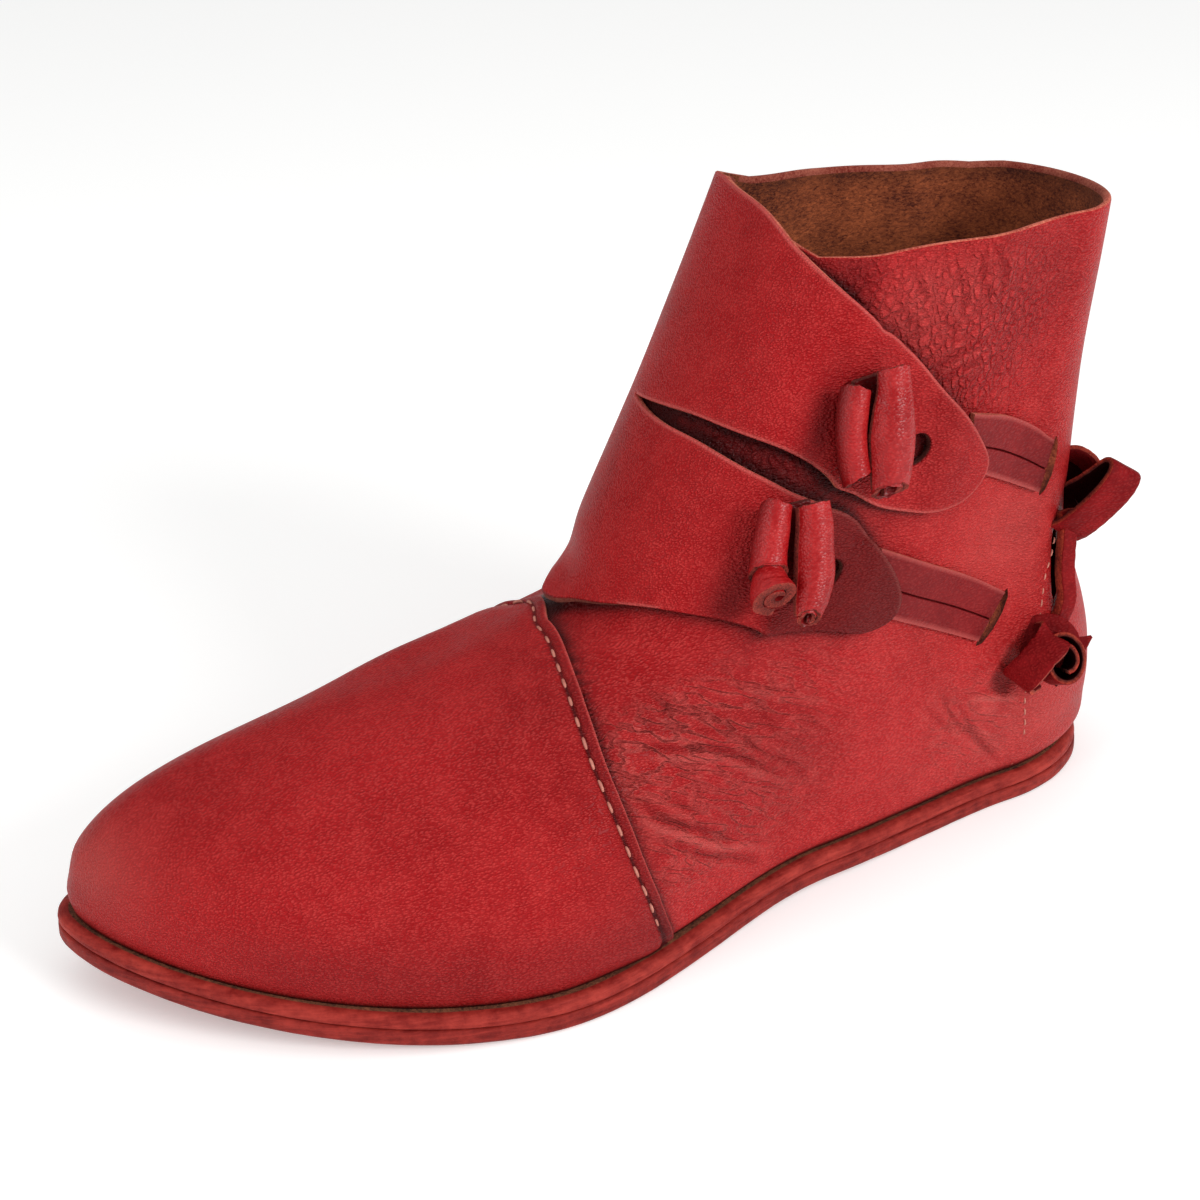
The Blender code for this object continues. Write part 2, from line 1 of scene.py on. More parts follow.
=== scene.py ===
# %% [markdown]
# # A medieval ankle boot in red leather
# The packed model gives the boot's plain solids in one fixed frame. This lesson dresses them: each soft
# piece is built again with a fine mesh, in the same place and from the same tables, and gets the leather
# that it has on the real boot. The toe points towards -Y, the outer side is +X, and the floor is Z = 0.

import bmesh
import bpy
import numpy as np
from mathutils import Matrix, Vector
from mathutils.geometry import delaunay_2d_cdt


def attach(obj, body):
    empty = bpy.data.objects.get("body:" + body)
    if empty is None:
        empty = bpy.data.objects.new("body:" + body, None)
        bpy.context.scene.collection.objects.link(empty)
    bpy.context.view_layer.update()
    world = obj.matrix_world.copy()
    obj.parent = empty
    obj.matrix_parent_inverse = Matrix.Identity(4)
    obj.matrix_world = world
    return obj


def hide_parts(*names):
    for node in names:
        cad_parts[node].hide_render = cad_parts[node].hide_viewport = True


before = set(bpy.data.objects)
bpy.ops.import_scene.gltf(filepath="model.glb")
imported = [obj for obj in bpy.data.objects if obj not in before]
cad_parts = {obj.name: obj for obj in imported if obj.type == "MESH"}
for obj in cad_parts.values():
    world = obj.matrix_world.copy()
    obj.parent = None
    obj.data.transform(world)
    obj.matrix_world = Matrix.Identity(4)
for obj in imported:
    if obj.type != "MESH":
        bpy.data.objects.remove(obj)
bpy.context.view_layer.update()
MM = 0.001
print("nodes:", ", ".join(sorted(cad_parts)))

# %% [markdown]
# ## Camera
# The view is three-quarter, from the outer side and a little above, with a long lens from close by. The
# camera's place is worked out from its turn round the boot, its rise and its distance, so that each of the
# three can be matched by itself. A slight roll follows the photograph.

# %% Camera
CAMERA_TURN, CAMERA_RISE, CAMERA_ROLL = np.radians((62.1, 26.1, -1.5))
CAMERA_FAR = 520.0
CAMERA_AIM = np.array([-25.9, 3.45, 64.5])
LENS_MM, SENSOR_MM = 60.93, 36.0
back = np.array([np.sin(CAMERA_TURN) * np.cos(CAMERA_RISE), -np.cos(CAMERA_TURN) * np.cos(CAMERA_RISE),
                 np.sin(CAMERA_RISE)])
right = np.cross(-back, (0, 0, 1))
right /= np.linalg.norm(right)
upright = np.cross(right, -back)
right, upright = (right * np.cos(CAMERA_ROLL) + upright * np.sin(CAMERA_ROLL),
                  upright * np.cos(CAMERA_ROLL) - right * np.sin(CAMERA_ROLL))
camera = bpy.data.objects.new("camera", bpy.data.cameras.new("camera"))
camera.data.lens, camera.data.sensor_width = LENS_MM, SENSOR_MM
camera.data.clip_start = 0.01
camera.matrix_world = Matrix.Translation((CAMERA_AIM + back * CAMERA_FAR) * MM) @ Matrix(
    np.column_stack([right, upright, back]).tolist()).to_4x4()
bpy.context.scene.collection.objects.link(camera)
bpy.context.scene.camera = camera
print("camera at", [round(v, 3) for v in camera.matrix_world.translation])

# %% [markdown]
# ## The last
# A shoe is shaped on a last, a wooden foot. Here the last is a table of level lines: each row says where
# the toe, ball, waist, heel and back are at one height, and how far the outer and inner sides stand out.
# Every piece below is placed by a turn round the boot (0 in front, 180 behind, plus on the outer side) and
# a height, and lifted off this surface. That keeps pieces that lie on each other at their true distance.

# %% Tables of the last
COLUMNS = ("z", "toe_y", "toe_x", "ball_y", "ball_lat", "ball_med", "waist_y", "waist_lat", "waist_med",
           "heel_y", "heel_lat", "heel_med", "back_y", "nose_lat", "nose_med")
LENGTH = 285.0
# The clear gap between pieces that lie on each other, and the thickness of the upper's leather.
GAP, WALL = 0.3, 1.8
SOLE_LINE = (0, -143, -15, -44, 58.5, -43.5, 38, 38.5, -29.5, 102, 31.5, -31.5, 142.5, 1.66, 2.0)
LEVELS = np.array([
    (7.9, -138.5, -15.0, -44, 54.0, -39.5, 38, 35.5, -26.0, 102, 28.5, -28.5, 139.5, 1.66, 2.00),
    (14, -138.5, -15.0, -44, 56.0, -42.0, 38, 37.5, -28.5, 102, 30.5, -30.5, 143.0, 1.70, 2.00),
    (24, -136.0, -15.5, -43, 56.0, -41.5, 38, 38.5, -30.5, 102, 32.0, -31.5, 144.5, 1.75, 1.95),
    (36, -124.0, -15.5, -40, 52.5, -38.0, 38, 39.0, -32.0, 102, 32.0, -31.5, 143.5, 1.80, 1.90),
    (47, -105.0, -14.0, -33, 46.5, -34.0, 38, 39.0, -33.0, 102, 31.5, -31.0, 140.5, 1.80, 1.80),
    (57, -81.0, -9.0, -20, 40.5, -32.0, 40, 38.0, -33.5, 102, 30.5, -30.5, 136.5, 1.80, 1.68),
    (66, -47.0, -2.0, -3, 37.5, -28.0, 46, 37.0, -33.5, 102, 29.5, -30.0, 133.0, 1.80, 1.55),
    (76, -15.0, 3.0, 18, 36.5, -31.5, 54, 36.5, -34.0, 102, 28.5, -29.5, 130.5, 1.80, 1.65),
    (92, -5.5, 2.0, 31, 35.5, -33.5, 62, 35.5, -34.0, 104, 29.0, -29.0, 130.0, 1.90, 1.85),
    (120, 12.5, 0.0, 43, 34.0, -33.0, 72, 35.0, -34.0, 106, 29.5, -29.5, 130.5, 2.00, 2.00),
    (148, 27.5, 0.0, 52, 33.0, -32.5, 80, 36.0, -36.0, 110, 31.0, -31.0, 132.5, 2.00, 2.00),
    (172, 40.0, 0.0, 59, 32.5, -32.0, 85, 37.0, -37.0, 112, 32.0, -32.0, 134.5, 2.00, 2.00),
])
TOE_SPRING, SPRING_FROM = 13.5, -38.0
ARCH, ARCH_FROM, ARCH_TO, SETTLE = 0.8, -10.0, 80.0, 30.0
# The tables start from a point of their own, this far from the middle of the boot's box.
MIDDLE = np.array([7.5, 0.75, 0.0])
print(len(LEVELS), "level lines from", LEVELS[0, 0], "to", LEVELS[-1, 0], "mm")


# %% Smooth rows and paths
def smooth_row(table, place):
    """A row between the rows of a table, with no corner at them."""
    table = np.asarray(table, float)
    place = np.clip(np.asarray(place, float), 0, len(table) - 1)
    i = np.minimum(np.floor(place).astype(int), len(table) - 2)
    f = (place - i)[..., None]
    here, after = table[i], table[i + 1]
    before = np.where((i == 0)[..., None], 2 * here - after, table[np.maximum(i - 1, 0)])
    beyond = np.where((i == len(table) - 2)[..., None], 2 * after - here,
                      table[np.minimum(i + 2, len(table) - 1)])
    return 0.5 * (2 * here + (after - before) * f + (2 * before - 5 * here + 4 * after - beyond) * f ** 2
                  + (3 * here - before - 3 * after + beyond) * f ** 3)


def smooth_line(points, count):
    """A smooth line of this many points through a few."""
    return smooth_row(points, np.linspace(0, len(points) - 1, count))


def unit(vectors):
    """Vectors brought to length 1."""
    return vectors / np.linalg.norm(vectors, axis=-1, keepdims=True)


def run_lengths(path):
    """How far along a path each of its points lies."""
    steps = np.linalg.norm(np.diff(path, axis=0), axis=-1)
    return np.concatenate([np.zeros_like(steps[:1]), np.cumsum(steps, axis=0)])


FINE = np.linspace(0, len(LEVELS) - 1, 900)
FINE_Z = smooth_row(LEVELS, FINE)[:, 0]
print("heights between the level lines:", FINE_Z[:3].round(2), "and on")


# %% Level lines
def level_line(rows, turn):
    """x and y on level lines at a turn: the front nose to 90, the sides to 135, the round heel to 180."""
    r = {name: rows[..., k] for k, name in enumerate(COLUMNS)}
    outer = turn >= 0
    a = np.abs(turn)
    pick = {k: np.where(outer, r[k + "_lat"], r[k + "_med"]) for k in ("ball", "waist", "heel", "nose")}
    nose = np.radians(np.clip(a, 0, 90))
    run = np.clip(np.cos(nose), 0, 1) ** (2 / pick["nose"])
    x_nose = r["toe_x"] * run ** 2 + pick["ball"] * np.sin(nose) ** (2 / pick["nose"])
    y_nose = r["ball_y"] - (r["ball_y"] - r["toe_y"]) * run
    y_side = r["ball_y"] + np.clip((a - 90) / 45, 0, 1) * (r["heel_y"] - r["ball_y"])
    slope = 0.35 * (pick["heel"] - pick["ball"]) / (r["heel_y"] - r["ball_y"])

    def between(y0, y1, w0, w1, m0, m1):
        h = y1 - y0
        q = np.clip((y_side - y0) / h, 0, 1)
        return (w0 * (1 + 2 * q) * (1 - q) ** 2 + h * m0 * q * (1 - q) ** 2
                + w1 * q * q * (3 - 2 * q) + h * m1 * q * q * (q - 1))

    x_side = np.where(y_side < r["waist_y"],
                      between(r["ball_y"], r["waist_y"], pick["ball"], pick["waist"], 0, slope),
                      between(r["waist_y"], r["heel_y"], pick["waist"], pick["heel"], slope, 0))
    heel = np.radians(np.clip((a - 135) * 2, 0, 90))
    x_heel = pick["heel"] * np.cos(heel)
    y_heel = r["heel_y"] + (r["back_y"] - r["heel_y"]) * np.sin(heel)
    x = np.where(a <= 90, x_nose, np.where(a <= 135, x_side, x_heel))
    y = np.where(a <= 90, y_nose, np.where(a <= 135, y_side, y_heel))
    return x, y


def rise(y):
    """How far the toe spring lifts everything at a place along the foot."""
    return TOE_SPRING * np.clip((SPRING_FROM - y) / (LENGTH / 2 + SPRING_FROM), 0, None) ** 2


def hollow(y):
    """How far the arch lifts the sole."""
    return ARCH * np.sin(np.pi * np.clip((y - ARCH_FROM) / (ARCH_TO - ARCH_FROM), 0, 1)) ** 2


print("toe spring at the tip:", rise(LEVELS[0, 1]).round(1), "mm")


# %% Points on the last
def wall(turn, z, lift=0.0):
    """Points on the upper's outer face at turns and heights, moved out by a lift along its normal."""
    turn, z, lift = np.broadcast_arrays(*(np.asarray(value, float) for value in (turn, z, lift)))

    def on(turn, z):
        turn = (turn + 180) % 360 - 180
        x, y = level_line(smooth_row(LEVELS, np.interp(z, FINE_Z, FINE)), turn)
        settle = np.clip(1 - (z - FINE_Z[0]) / SETTLE, 0, 1)
        return np.stack([x, y, z + rise(y) + settle * hollow(y)], axis=-1)

    across = on(turn + 0.4, z) - on(turn - 0.4, z)
    up = on(turn, z + 0.3) - on(turn, np.maximum(z - 0.3, FINE_Z[0]))
    return on(turn, z) + unit(np.cross(across, up)) * lift[..., None]


print("toe tip at", wall(0, 20).round(1), "mm in the tables' frame")


# %% [markdown]
# ## Helpers for meshes
# All soft pieces here are sheets of leather: two faces a wall apart, joined round a cut edge. One function
# makes the object, lets it ride on the boot's only body and says which solids it stands for. One closes a
# sheet between two grids of points, and gives the cut edge a finish of its own. Small random unevenness
# comes from a lattice of seeded numbers, so each run gives the same boot.

# %% Pieces
def piece(name, points, faces, finish, stands_for=(), face_finish=None):
    mesh = bpy.data.meshes.new(name)
    mesh.from_pydata(((np.asarray(points, float) - MIDDLE) * MM).tolist(), [], faces)
    for material in finish:
        mesh.materials.append(material)
    if face_finish is not None:
        mesh.polygons.foreach_set("material_index", np.asarray(face_finish, np.int32))
    mesh.shade_smooth()
    mesh.update()
    made = bpy.data.objects.new(name, mesh)
    bpy.context.scene.collection.objects.link(made)
    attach(made, "root")
    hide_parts(*stands_for)
    print(f"{name}: {len(mesh.vertices)} points, {len(mesh.polygons)} faces")
    return made


def paint(made, name, values):
    """Stores a number on each point for the materials to read."""
    made.data.attributes.new(name, "FLOAT", "POINT").data.foreach_set(
        "value", np.asarray(values, np.float32).ravel())


print("solids to stand for:", len(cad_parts))


# %% Sheets
def band(rows, columns, start=0, closed=True, flip=False):
    """Quads over a grid of points numbered row by row."""
    i, j = np.meshgrid(np.arange(rows - 1), np.arange(columns if closed else columns - 1), indexing="ij")
    k = (j + 1) % columns
    quads = start + np.stack([i * columns + j, i * columns + k, (i + 1) * columns + k,
                              (i + 1) * columns + j], axis=-1).reshape(-1, 4)
    return (quads[:, ::-1] if flip else quads).tolist()


def sheet_faces(rows, columns):
    """Faces of a closed sheet between two grids, and which of them are the cut edge."""
    n = rows * columns
    faces = band(rows, columns, 0, False) + band(rows, columns, n, False, True)
    rim = (list(range(columns)) + [i * columns + columns - 1 for i in range(1, rows)]
           + [(rows - 1) * columns + j for j in range(columns - 2, -1, -1)]
           + [i * columns for i in range(rows - 2, 0, -1)])
    edge = [[b, a, n + a, n + b] for a, b in zip(rim, rim[1:] + rim[:1])]
    return faces + edge, [0] * len(faces) + [1] * len(edge)


print("a sheet of 3 by 4 points has", len(sheet_faces(3, 4)[0]), "faces")


# %% Unevenness
def ripple(points, size, seed):
    """Smooth random values from -1 to 1 at points, in bumps of about this size in millimetres."""
    lattice = np.random.default_rng(seed).uniform(-1, 1, (32, 32, 32))
    at = np.asarray(points, float) / size
    cell = np.floor(at).astype(int)
    part = at - cell
    part = part * part * (3 - 2 * part)
    total = np.zeros(at.shape[:-1])
    for corner in np.ndindex(2, 2, 2):
        weight = np.where(np.array(corner) == 1, part, 1 - part).prod(axis=-1)
        x, y, z = np.moveaxis((cell + corner) % 32, -1, 0)
        total += weight * lattice[x, y, z]
    return total


print("unevenness at the toe:", ripple(wall(0, 20), 16, 5).round(2))

# %% [markdown]
# ## Leather
# The boot is vegetable-tanned cowhide, dyed red by hand. Dye takes unevenly, so the colour drifts between
# a deep and a lighter red over a few centimetres. The grain is a net of tiny pebbles: a cell pattern gives
# them, as a bump that breaks the soft gloss up, as painted shade in the furrows and as painted glints on
# their tops. Where leather is cut it shows pale fibres, and its flesh side is brown and napped like suede.
# Two numbers on the meshes add painted shade and painted highlights to the dye: dark, which also gives a
# darker dye on the flap's lower tip, and pale.

# %% Node helper and colours
def srgb(code):
    """A #RRGGBB colour as linear numbers."""
    value = np.array([int(code[i:i + 2], 16) for i in (1, 3, 5)]) / 255
    return (*np.where(value <= 0.04045, value / 12.92, ((value + 0.055) / 1.055) ** 2.4).tolist(), 1.0)


def add(tree, kind, settings=(), links=()):
    """Adds a node. Settings are its properties or unlinked sockets, and links feed its sockets."""
    made = tree.nodes.new("ShaderNode" + kind)
    for name, value in dict(settings).items():
        if isinstance(name, str) and name in made.bl_rna.properties:
            setattr(made, name, value)
        else:
            made.inputs[name].default_value = value
    for name, source in dict(links).items():
        tree.links.new(source, made.inputs[name])
    return made


def per_mm(size):
    """Texture scale for a pattern of this size in millimetres, as object coordinates are in metres."""
    return 1000.0 / size


# Numbers of the mix node's colour sockets.
COLOUR_A, COLOUR_B, COLOUR_OUT = 6, 7, 2
print("red as linear numbers:", np.round(srgb("#A81519"), 3))


# %% A finish in the making
class Finish:
    """A material in the making, with short names for the nodes that leather needs."""

    def __init__(self, name):
        self.material = bpy.data.materials.new(name)
        self.material.use_nodes = True
        self.tree = self.material.node_tree
        self.shader = self.tree.nodes["Principled BSDF"]
        self.place = self.add("TexCoord").outputs["Object"]

    def add(self, kind, settings=(), links=()):
        return add(self.tree, kind, settings, links)

    def noise(self, size, detail, at=None, give="Fac", **more):
        """Noise in blots of this size in millimetres."""
        return self.add("TexNoise", {"Scale": per_mm(size), "Detail": detail, **more},
                        {"Vector": self.place if at is None else at}).outputs[give]

    def cells(self, size, feature, at):
        """Distances in a pattern of cells of this size in millimetres."""
        return self.add("TexVoronoi", {"feature": feature, "Scale": per_mm(size)},
                        {"Vector": at}).outputs["Distance"]

    def ramp(self, value, low, high, start=0.0, end=1.0):
        """Maps low to high onto start to end."""
        return self.add("MapRange", {"From Min": low, "From Max": high, "To Min": start, "To Max": end},
                        {"Value": value}).outputs["Result"]

    def mix(self, share, first, second):
        """Two colours in a changing share. Each is a code or an earlier mix."""
        both = {COLOUR_A: first, COLOUR_B: second}
        codes = {k: srgb(colour) for k, colour in both.items() if isinstance(colour, str)}
        mixed = {k: colour for k, colour in both.items() if k not in codes}
        return self.add("Mix", {"data_type": "RGBA", **codes}, {0: share, **mixed}).outputs[COLOUR_OUT]

    def sum(self, operation, *values, **more):
        """Arithmetic with plain numbers and earlier values."""
        plain = {k: value for k, value in enumerate(values) if isinstance(value, float)}
        linked = {k: value for k, value in enumerate(values) if k not in plain}
        return self.add("Math", {"operation": operation, **more, **plain}, linked).outputs[0]

    def mark(self, name):
        """A number painted on the mesh."""
        return self.add("Attribute", {"attribute_name": name}).outputs["Fac"]

    def mapped(self, at, **settings):
        return self.add("Mapping", settings, {"Vector": at}).outputs["Vector"]

    def astray(self, size, detail, far):
        """Places moved about by some millimetres, so that cells get wandering walls."""
        moved = self.add("VectorMath", {"operation": "SCALE", "Scale": far * MM},
                         {0: self.noise(size, detail, give="Color")}).outputs["Vector"]
        return self.add("VectorMath", {"operation": "ADD"}, {0: self.place, 1: moved}).outputs["Vector"]

    def bump(self, height, deep):
        """A relief this many millimetres deep."""
        return self.add("Bump", {"Strength": 1.0, "Distance": deep * MM}, {"Height": height}).outputs["Normal"]

    def done(self, sockets):
        """Feeds or sets the shader's sockets."""
        for name, value in sockets.items():
            if isinstance(value, bpy.types.NodeSocket):
                self.tree.links.new(value, self.shader.inputs[name])
            else:
                self.shader.inputs[name].default_value = value
        return self.material


print("finishes have:", ", ".join(name for name in vars(Finish) if not name.startswith("_")))

# %% Red grain leather
# Painted shade in the coarse and the fine furrows, a painted highlight on the brows beside wrinkles, a pale colour
# for painted highlights, and a near-black for painted shade and darker dye.
FURROW_SHADE, GRAIN_SHADE, BROW_HIGHLIGHT, PALE_AND_HIGHLIGHT, DARKER_DYE_AND_SHADE = "#7E0E12", "#5C0B0E", "#CC6A62", "#C8605A", "#240304"


def grain_leather(name, deep, middle, light, crown_glint, grain, net, bump, gloss, specular=0.10, pebble=0.0):
    """Dyed grain leather. crown_glint is the colour of the painted glint on top of the grain's pebbles, grain
    their size, net how clearly their painted glints and painted shade show, and pebble the size of the coarse
    ones, if any."""
    new = Finish(name)
    drift = new.ramp(new.noise(38, 3.0, Roughness=0.55), 0.36, 0.64)
    cloud = new.ramp(new.noise(6, 4.0, Roughness=0.6), 0.42, 0.72, end=0.6)
    dye = new.mix(cloud, new.mix(drift, deep, middle), light)
    # The pebbles of the grain: cells with wandering walls. Lasting has drawn them out along the foot.
    pulled = new.mapped(new.astray(2.2, 2.0, grain * 1.2), Scale=(1.0, 0.5, 1.0))
    dome = height = new.ramp(new.cells(grain, "F1", pulled), 0.2, 0.75, 1.0, 0.0)
    # Painted glints on the pebbles' tops.
    dye = new.mix(new.ramp(dome, 0.5, 1.0, end=net), dye, crown_glint)
    if pebble:
        # Coarse pebbles where the hide is crumpled, longer upwards, and slanting wrinkles over the ball, with
        # painted shade in their furrows.
        stray = new.mapped(new.astray(3.2, 3.0, pebble * 1.5), Scale=(1.0, 1.0, 0.8))
        coarse = new.ramp(new.cells(pebble, "DISTANCE_TO_EDGE", stray), 0.02, 0.22, 1.0, 0.0)
        slant = new.mapped(new.place, vector_type="TEXTURE", Rotation=(np.radians(-28), 0, 0),
                           Scale=(1.0, 5.0, 1.0))
        slant = new.sum("PINGPONG", new.noise(2.8, 2.0, slant, Distortion=0.4), 0.5)
        wrinkled = new.mark("wrinkle")
        # The brow beside a wrinkle gets a painted highlight.
        dye = new.mix(new.sum("MULTIPLY", new.ramp(slant, 0.42, 0.45, end=0.32), wrinkled), dye, BROW_HIGHLIGHT)
        fold = new.sum("MULTIPLY", new.ramp(slant, 0.462, 0.497), wrinkled)
        furrow = new.sum("ADD", new.sum("MULTIPLY", coarse, new.mark("pebble")), fold, use_clamp=True)
        height = new.sum("MULTIPLY_ADD", furrow, -2.4, height)
        # Painted shade in the coarse furrows and the wrinkles.
        dye = new.mix(new.sum("MULTIPLY", furrow, 0.6), dye, FURROW_SHADE)
    # Painted shade in the fine furrows between the pebbles.
    dye = new.mix(new.ramp(dome, 0.0, 0.8, net, 0.0), dye, GRAIN_SHADE)
    # The pale mark: painted highlights, and paler edges on the straps.
    dye = new.mix(new.mark("pale"), dye, PALE_AND_HIGHLIGHT)
    # The dark mark: mostly painted shade and painted shadow, and some darker dye.
    dye = new.mix(new.mark("dark"), dye, DARKER_DYE_AND_SHADE)
    return new.done({"Base Color": dye, "Roughness": new.ramp(cloud, 0.0, 0.6, *gloss),
                     "Normal": new.bump(height, bump), "IOR": 1.5, "Specular IOR Level": specular})


# %% The grain leathers
# The grain is about half a millimetre. Tight calf has a smooth gloss, and the soft hide coarse pebbles too.
vamp_leather = grain_leather("vegetable-tanned red calf", "#940C10", "#A81519", "#B42828", "#BC4642",
                             0.48, 0.36, 0.26, (0.38, 0.48))
quarter_leather = grain_leather("soft pebbled red hide", "#960C10", "#AC171B", "#BA2E2E", "#BE4A45",
                                0.52, 0.36, 0.26, (0.38, 0.48), pebble=2.3)
# Straps and thongs are darker from oil and handling, and the tight rolls shine most.
strap_leather = grain_leather("dark red strap leather", "#620A0E", "#741216", "#821E20", "#8E322E",
                              0.6, 0.28, 0.12, (0.42, 0.52))
thong_leather = grain_leather("oiled thong leather", "#60070B", "#7E0E12", "#90171B", "#9E302C",
                              0.6, 0.22, 0.12, (0.46, 0.56), specular=0.05)
toggle_leather = grain_leather("rolled red calf", "#860A0E", "#A01216", "#AE2626", "#BA3E3A",
                               0.6, 0.2, 0.10, (0.30, 0.40), specular=0.24)
print("grain leathers:", vamp_leather.name, quarter_leather.name, strap_leather.name, thong_leather.name,
      toggle_leather.name, sep=" / ")


# %% Cut edges and the flesh side
def fibre_leather(name, deep, light, fibre, bump, sheen=0.02, stretch=(1.0, 1.0, 1.0), specular=0.2):
    """Leather fibre without its grain: a napped flesh side or a raw cut. It is matt, as its fuzz has no gloss."""
    new = Finish(name)
    fuzz = new.noise(fibre, 5.0, new.mapped(new.place, Scale=stretch), Roughness=0.7, Distortion=0.8)
    both = new.ramp(new.sum("MULTIPLY_ADD", new.noise(9, 3.0), 0.4, fuzz), 0.54, 0.88)
    # The dark mark lays painted shade on the fibre: in hollows, on buttonhole walls and on far edges.
    tone = new.mix(new.mark("dark"), new.mix(both, deep, light), "#1A0304")
    return new.done({"Base Color": tone, "Normal": new.bump(fuzz, bump), "Roughness": 0.92,
                     "Specular IOR Level": specular, "Sheen Weight": sheen, "Sheen Roughness": 0.6})


flesh_suede = fibre_leather("napped flesh side", "#46160A", "#AA5832", 0.8, 0.6, stretch=(1.0, 0.6, 1.5))
cut_leather = fibre_leather("raw cut edge", "#8E2418", "#DC7C64", 0.6, 0.4)
thong_edge = fibre_leather("raw thong edge", "#660E0A", "#C04832", 0.8, 0.35)
slot_leather = fibre_leather("raw slot edge", "#5E1810", "#B8583A", 0.8, 0.5)
# A near-black finish that is painted shade, for the back slit and the thongs' deepest hollows.
gap_leather = fibre_leather("shaded cut", "#120304", "#2C0A08", 0.8, 0.5, 0.0, specular=0.0)
roll_end = fibre_leather("raw roll end", "#560C0A", "#B84638", 0.5, 0.6)
insole_leather = fibre_leather("worn insole leather", "#5E3A26", "#8A6042", 1.6, 0.3, 0.1)
margin_leather = fibre_leather("tan sole margin", "#2A100A", "#94563A", 0.8, 0.4)
print("fibre leathers:", flesh_suede.name, cut_leather.name, slot_leather.name, insole_leather.name, sep=" / ")


# %% [markdown]
# ## Soles
# Two layers of thick sole leather, cut to one outline and dyed at the edge. The edge was rasped and
# burnished, so it shows fine level streaks, and the top margin outside the upper keeps its tan fibres. Each
# layer is a stack of rings of the outline, pulled in a little at its corners.

# %% Sole leather
def sole_edge(name, deep, light):
    """A burnished edge: long level streaks and small blots, with a low gloss."""
    new = Finish(name)
    streak = new.noise(14, 6.0, new.mapped(new.place, Scale=(1.0, 1.0, 12.0)), Roughness=0.7)
    both = new.ramp(new.sum("MULTIPLY_ADD", streak, 1.2, new.noise(4, 5.0, Roughness=0.65)), 0.85, 1.35)
    return new.done({"Base Color": new.mix(both, deep, light), "Normal": new.bump(both, 0.25), "Roughness": 0.6,
                     "Specular IOR Level": 0.15})


outsole_leather = sole_edge("burnished sole edge", "#640F0D", "#982E26")
midsole_leather = sole_edge("dyed midsole edge", "#721310", "#A4352C")
print("sole edges:", outsole_leather.name, midsole_leather.name, sep=" / ")


# %% Sole layers
def turns(nose, side, heel):
    """Turns round a level line, closer where it bends more."""
    half = np.concatenate([np.linspace(0, 90, nose, endpoint=False),
                           np.linspace(90, 135, side, endpoint=False), np.linspace(135, 180, heel + 1)])
    return np.concatenate([half, -half[1:-1][::-1]])


SOLE_TURNS = turns(70, 50, 34)


def layer(name, line, profile, finish, uneven, seed, top_from=None):
    """A sole layer from its edge's profile: how far each ring lies inside the outline, and its height."""
    x, y = level_line(np.tile(np.array(line, float), (len(SOLE_TURNS), 1)), SOLE_TURNS)
    step_x, step_y = np.roll(x, -1) - np.roll(x, 1), np.roll(y, -1) - np.roll(y, 1)
    size = np.hypot(step_x, step_y)
    rings = []
    for inset, z in profile:
        here = np.stack([x, y, np.full(len(x), float(z))], axis=-1)
        inset = inset + uneven * (ripple(here, 11, seed) + 0.6 * ripple(here, 3.5, seed + 1))
        px, py = x - step_y / size * inset, y + step_x / size * inset
        rings.append(np.stack([px, py, z + rise(py) + hollow(py)], axis=-1))
    n = len(SOLE_TURNS)
    faces = band(len(profile), n)
    kinds = [0 if top_from is None or i // n < top_from else 1 for i in range(len(faces))]
    half = np.arange(n // 2)
    rungs = np.stack([half, half + 1, (n - half - 1) % n, (n - half) % n], axis=-1)
    for ring, up in ((0, False), (len(profile) - 1, True)):
        for rung in rungs:
            rung = [ring * n + v for v in dict.fromkeys(rung.tolist())]
            faces.append(rung if up else rung[::-1])
            kinds.append(1 if up and top_from is not None else 0)
    return piece(name, np.concatenate(rings), faces, finish, (name.replace("_layer", ""),), kinds)


layer("outsole_layer", SOLE_LINE,
      ((2.5, 0.0), (0.9, 0.05), (0.25, 0.35), (0.0, 1.0), (0.0, 2.2), (0.05, 3.2), (0.3, 3.8), (1.1, 4.0)),
      (outsole_leather,), 0.10, 11)
layer("midsole_layer", SOLE_LINE,
      ((1.7, 4.3), (0.6, 4.4), (0.3, 4.75), (0.25, 5.4), (0.4, 6.1), (0.8, 6.8), (1.45, 7.3), (2.2, 7.55),
       (2.9, 7.6), (5.0, 7.55), (9.0, 7.55)),
      (midsole_leather, margin_leather), 0.12, 13, top_from=8)
layer("insole_layer", LEVELS[0],
      ((3.6, 7.9), (2.8, 8.2), (2.7, 9.2), (3.1, 9.8), (4.2, 9.9), (9.0, 9.85)),
      (insole_leather,), 0.05, 17)

# %% [markdown]
# ## Quarters
# The back of the boot is one soft hide that runs from under the vamp round the heel. It has a grain side
# and a napped inside, and its top is cut raw. Its creases are placed from the photograph, as turns and
# heights: each is a soft trough with a low ridge on both sides, deep enough to shade by itself. The
# finer crumpling is left to the grain.

# %% Soft steps and spots
def soft(value):
    """From 0 to 1 without corners."""
    value = np.clip(value, 0, 1)
    return value * value * (3 - 2 * value)


def bell(value, width):
    """1 at nought, falling off softly over a width."""
    return np.exp(-(value / width) ** 2)


def spot(turn, z, turn_at, z_at, turn_wide, z_wide):
    """A soft spot at a turn and a height."""
    return np.exp(-((turn - turn_at) / turn_wide) ** 2 - ((z - z_at) / z_wide) ** 2)


def spots(turn, z, table):
    return sum(amount * spot(turn, z, *where) for amount, *where in table)


print("a bell one width out:", bell(1.0, 1.0).round(2))

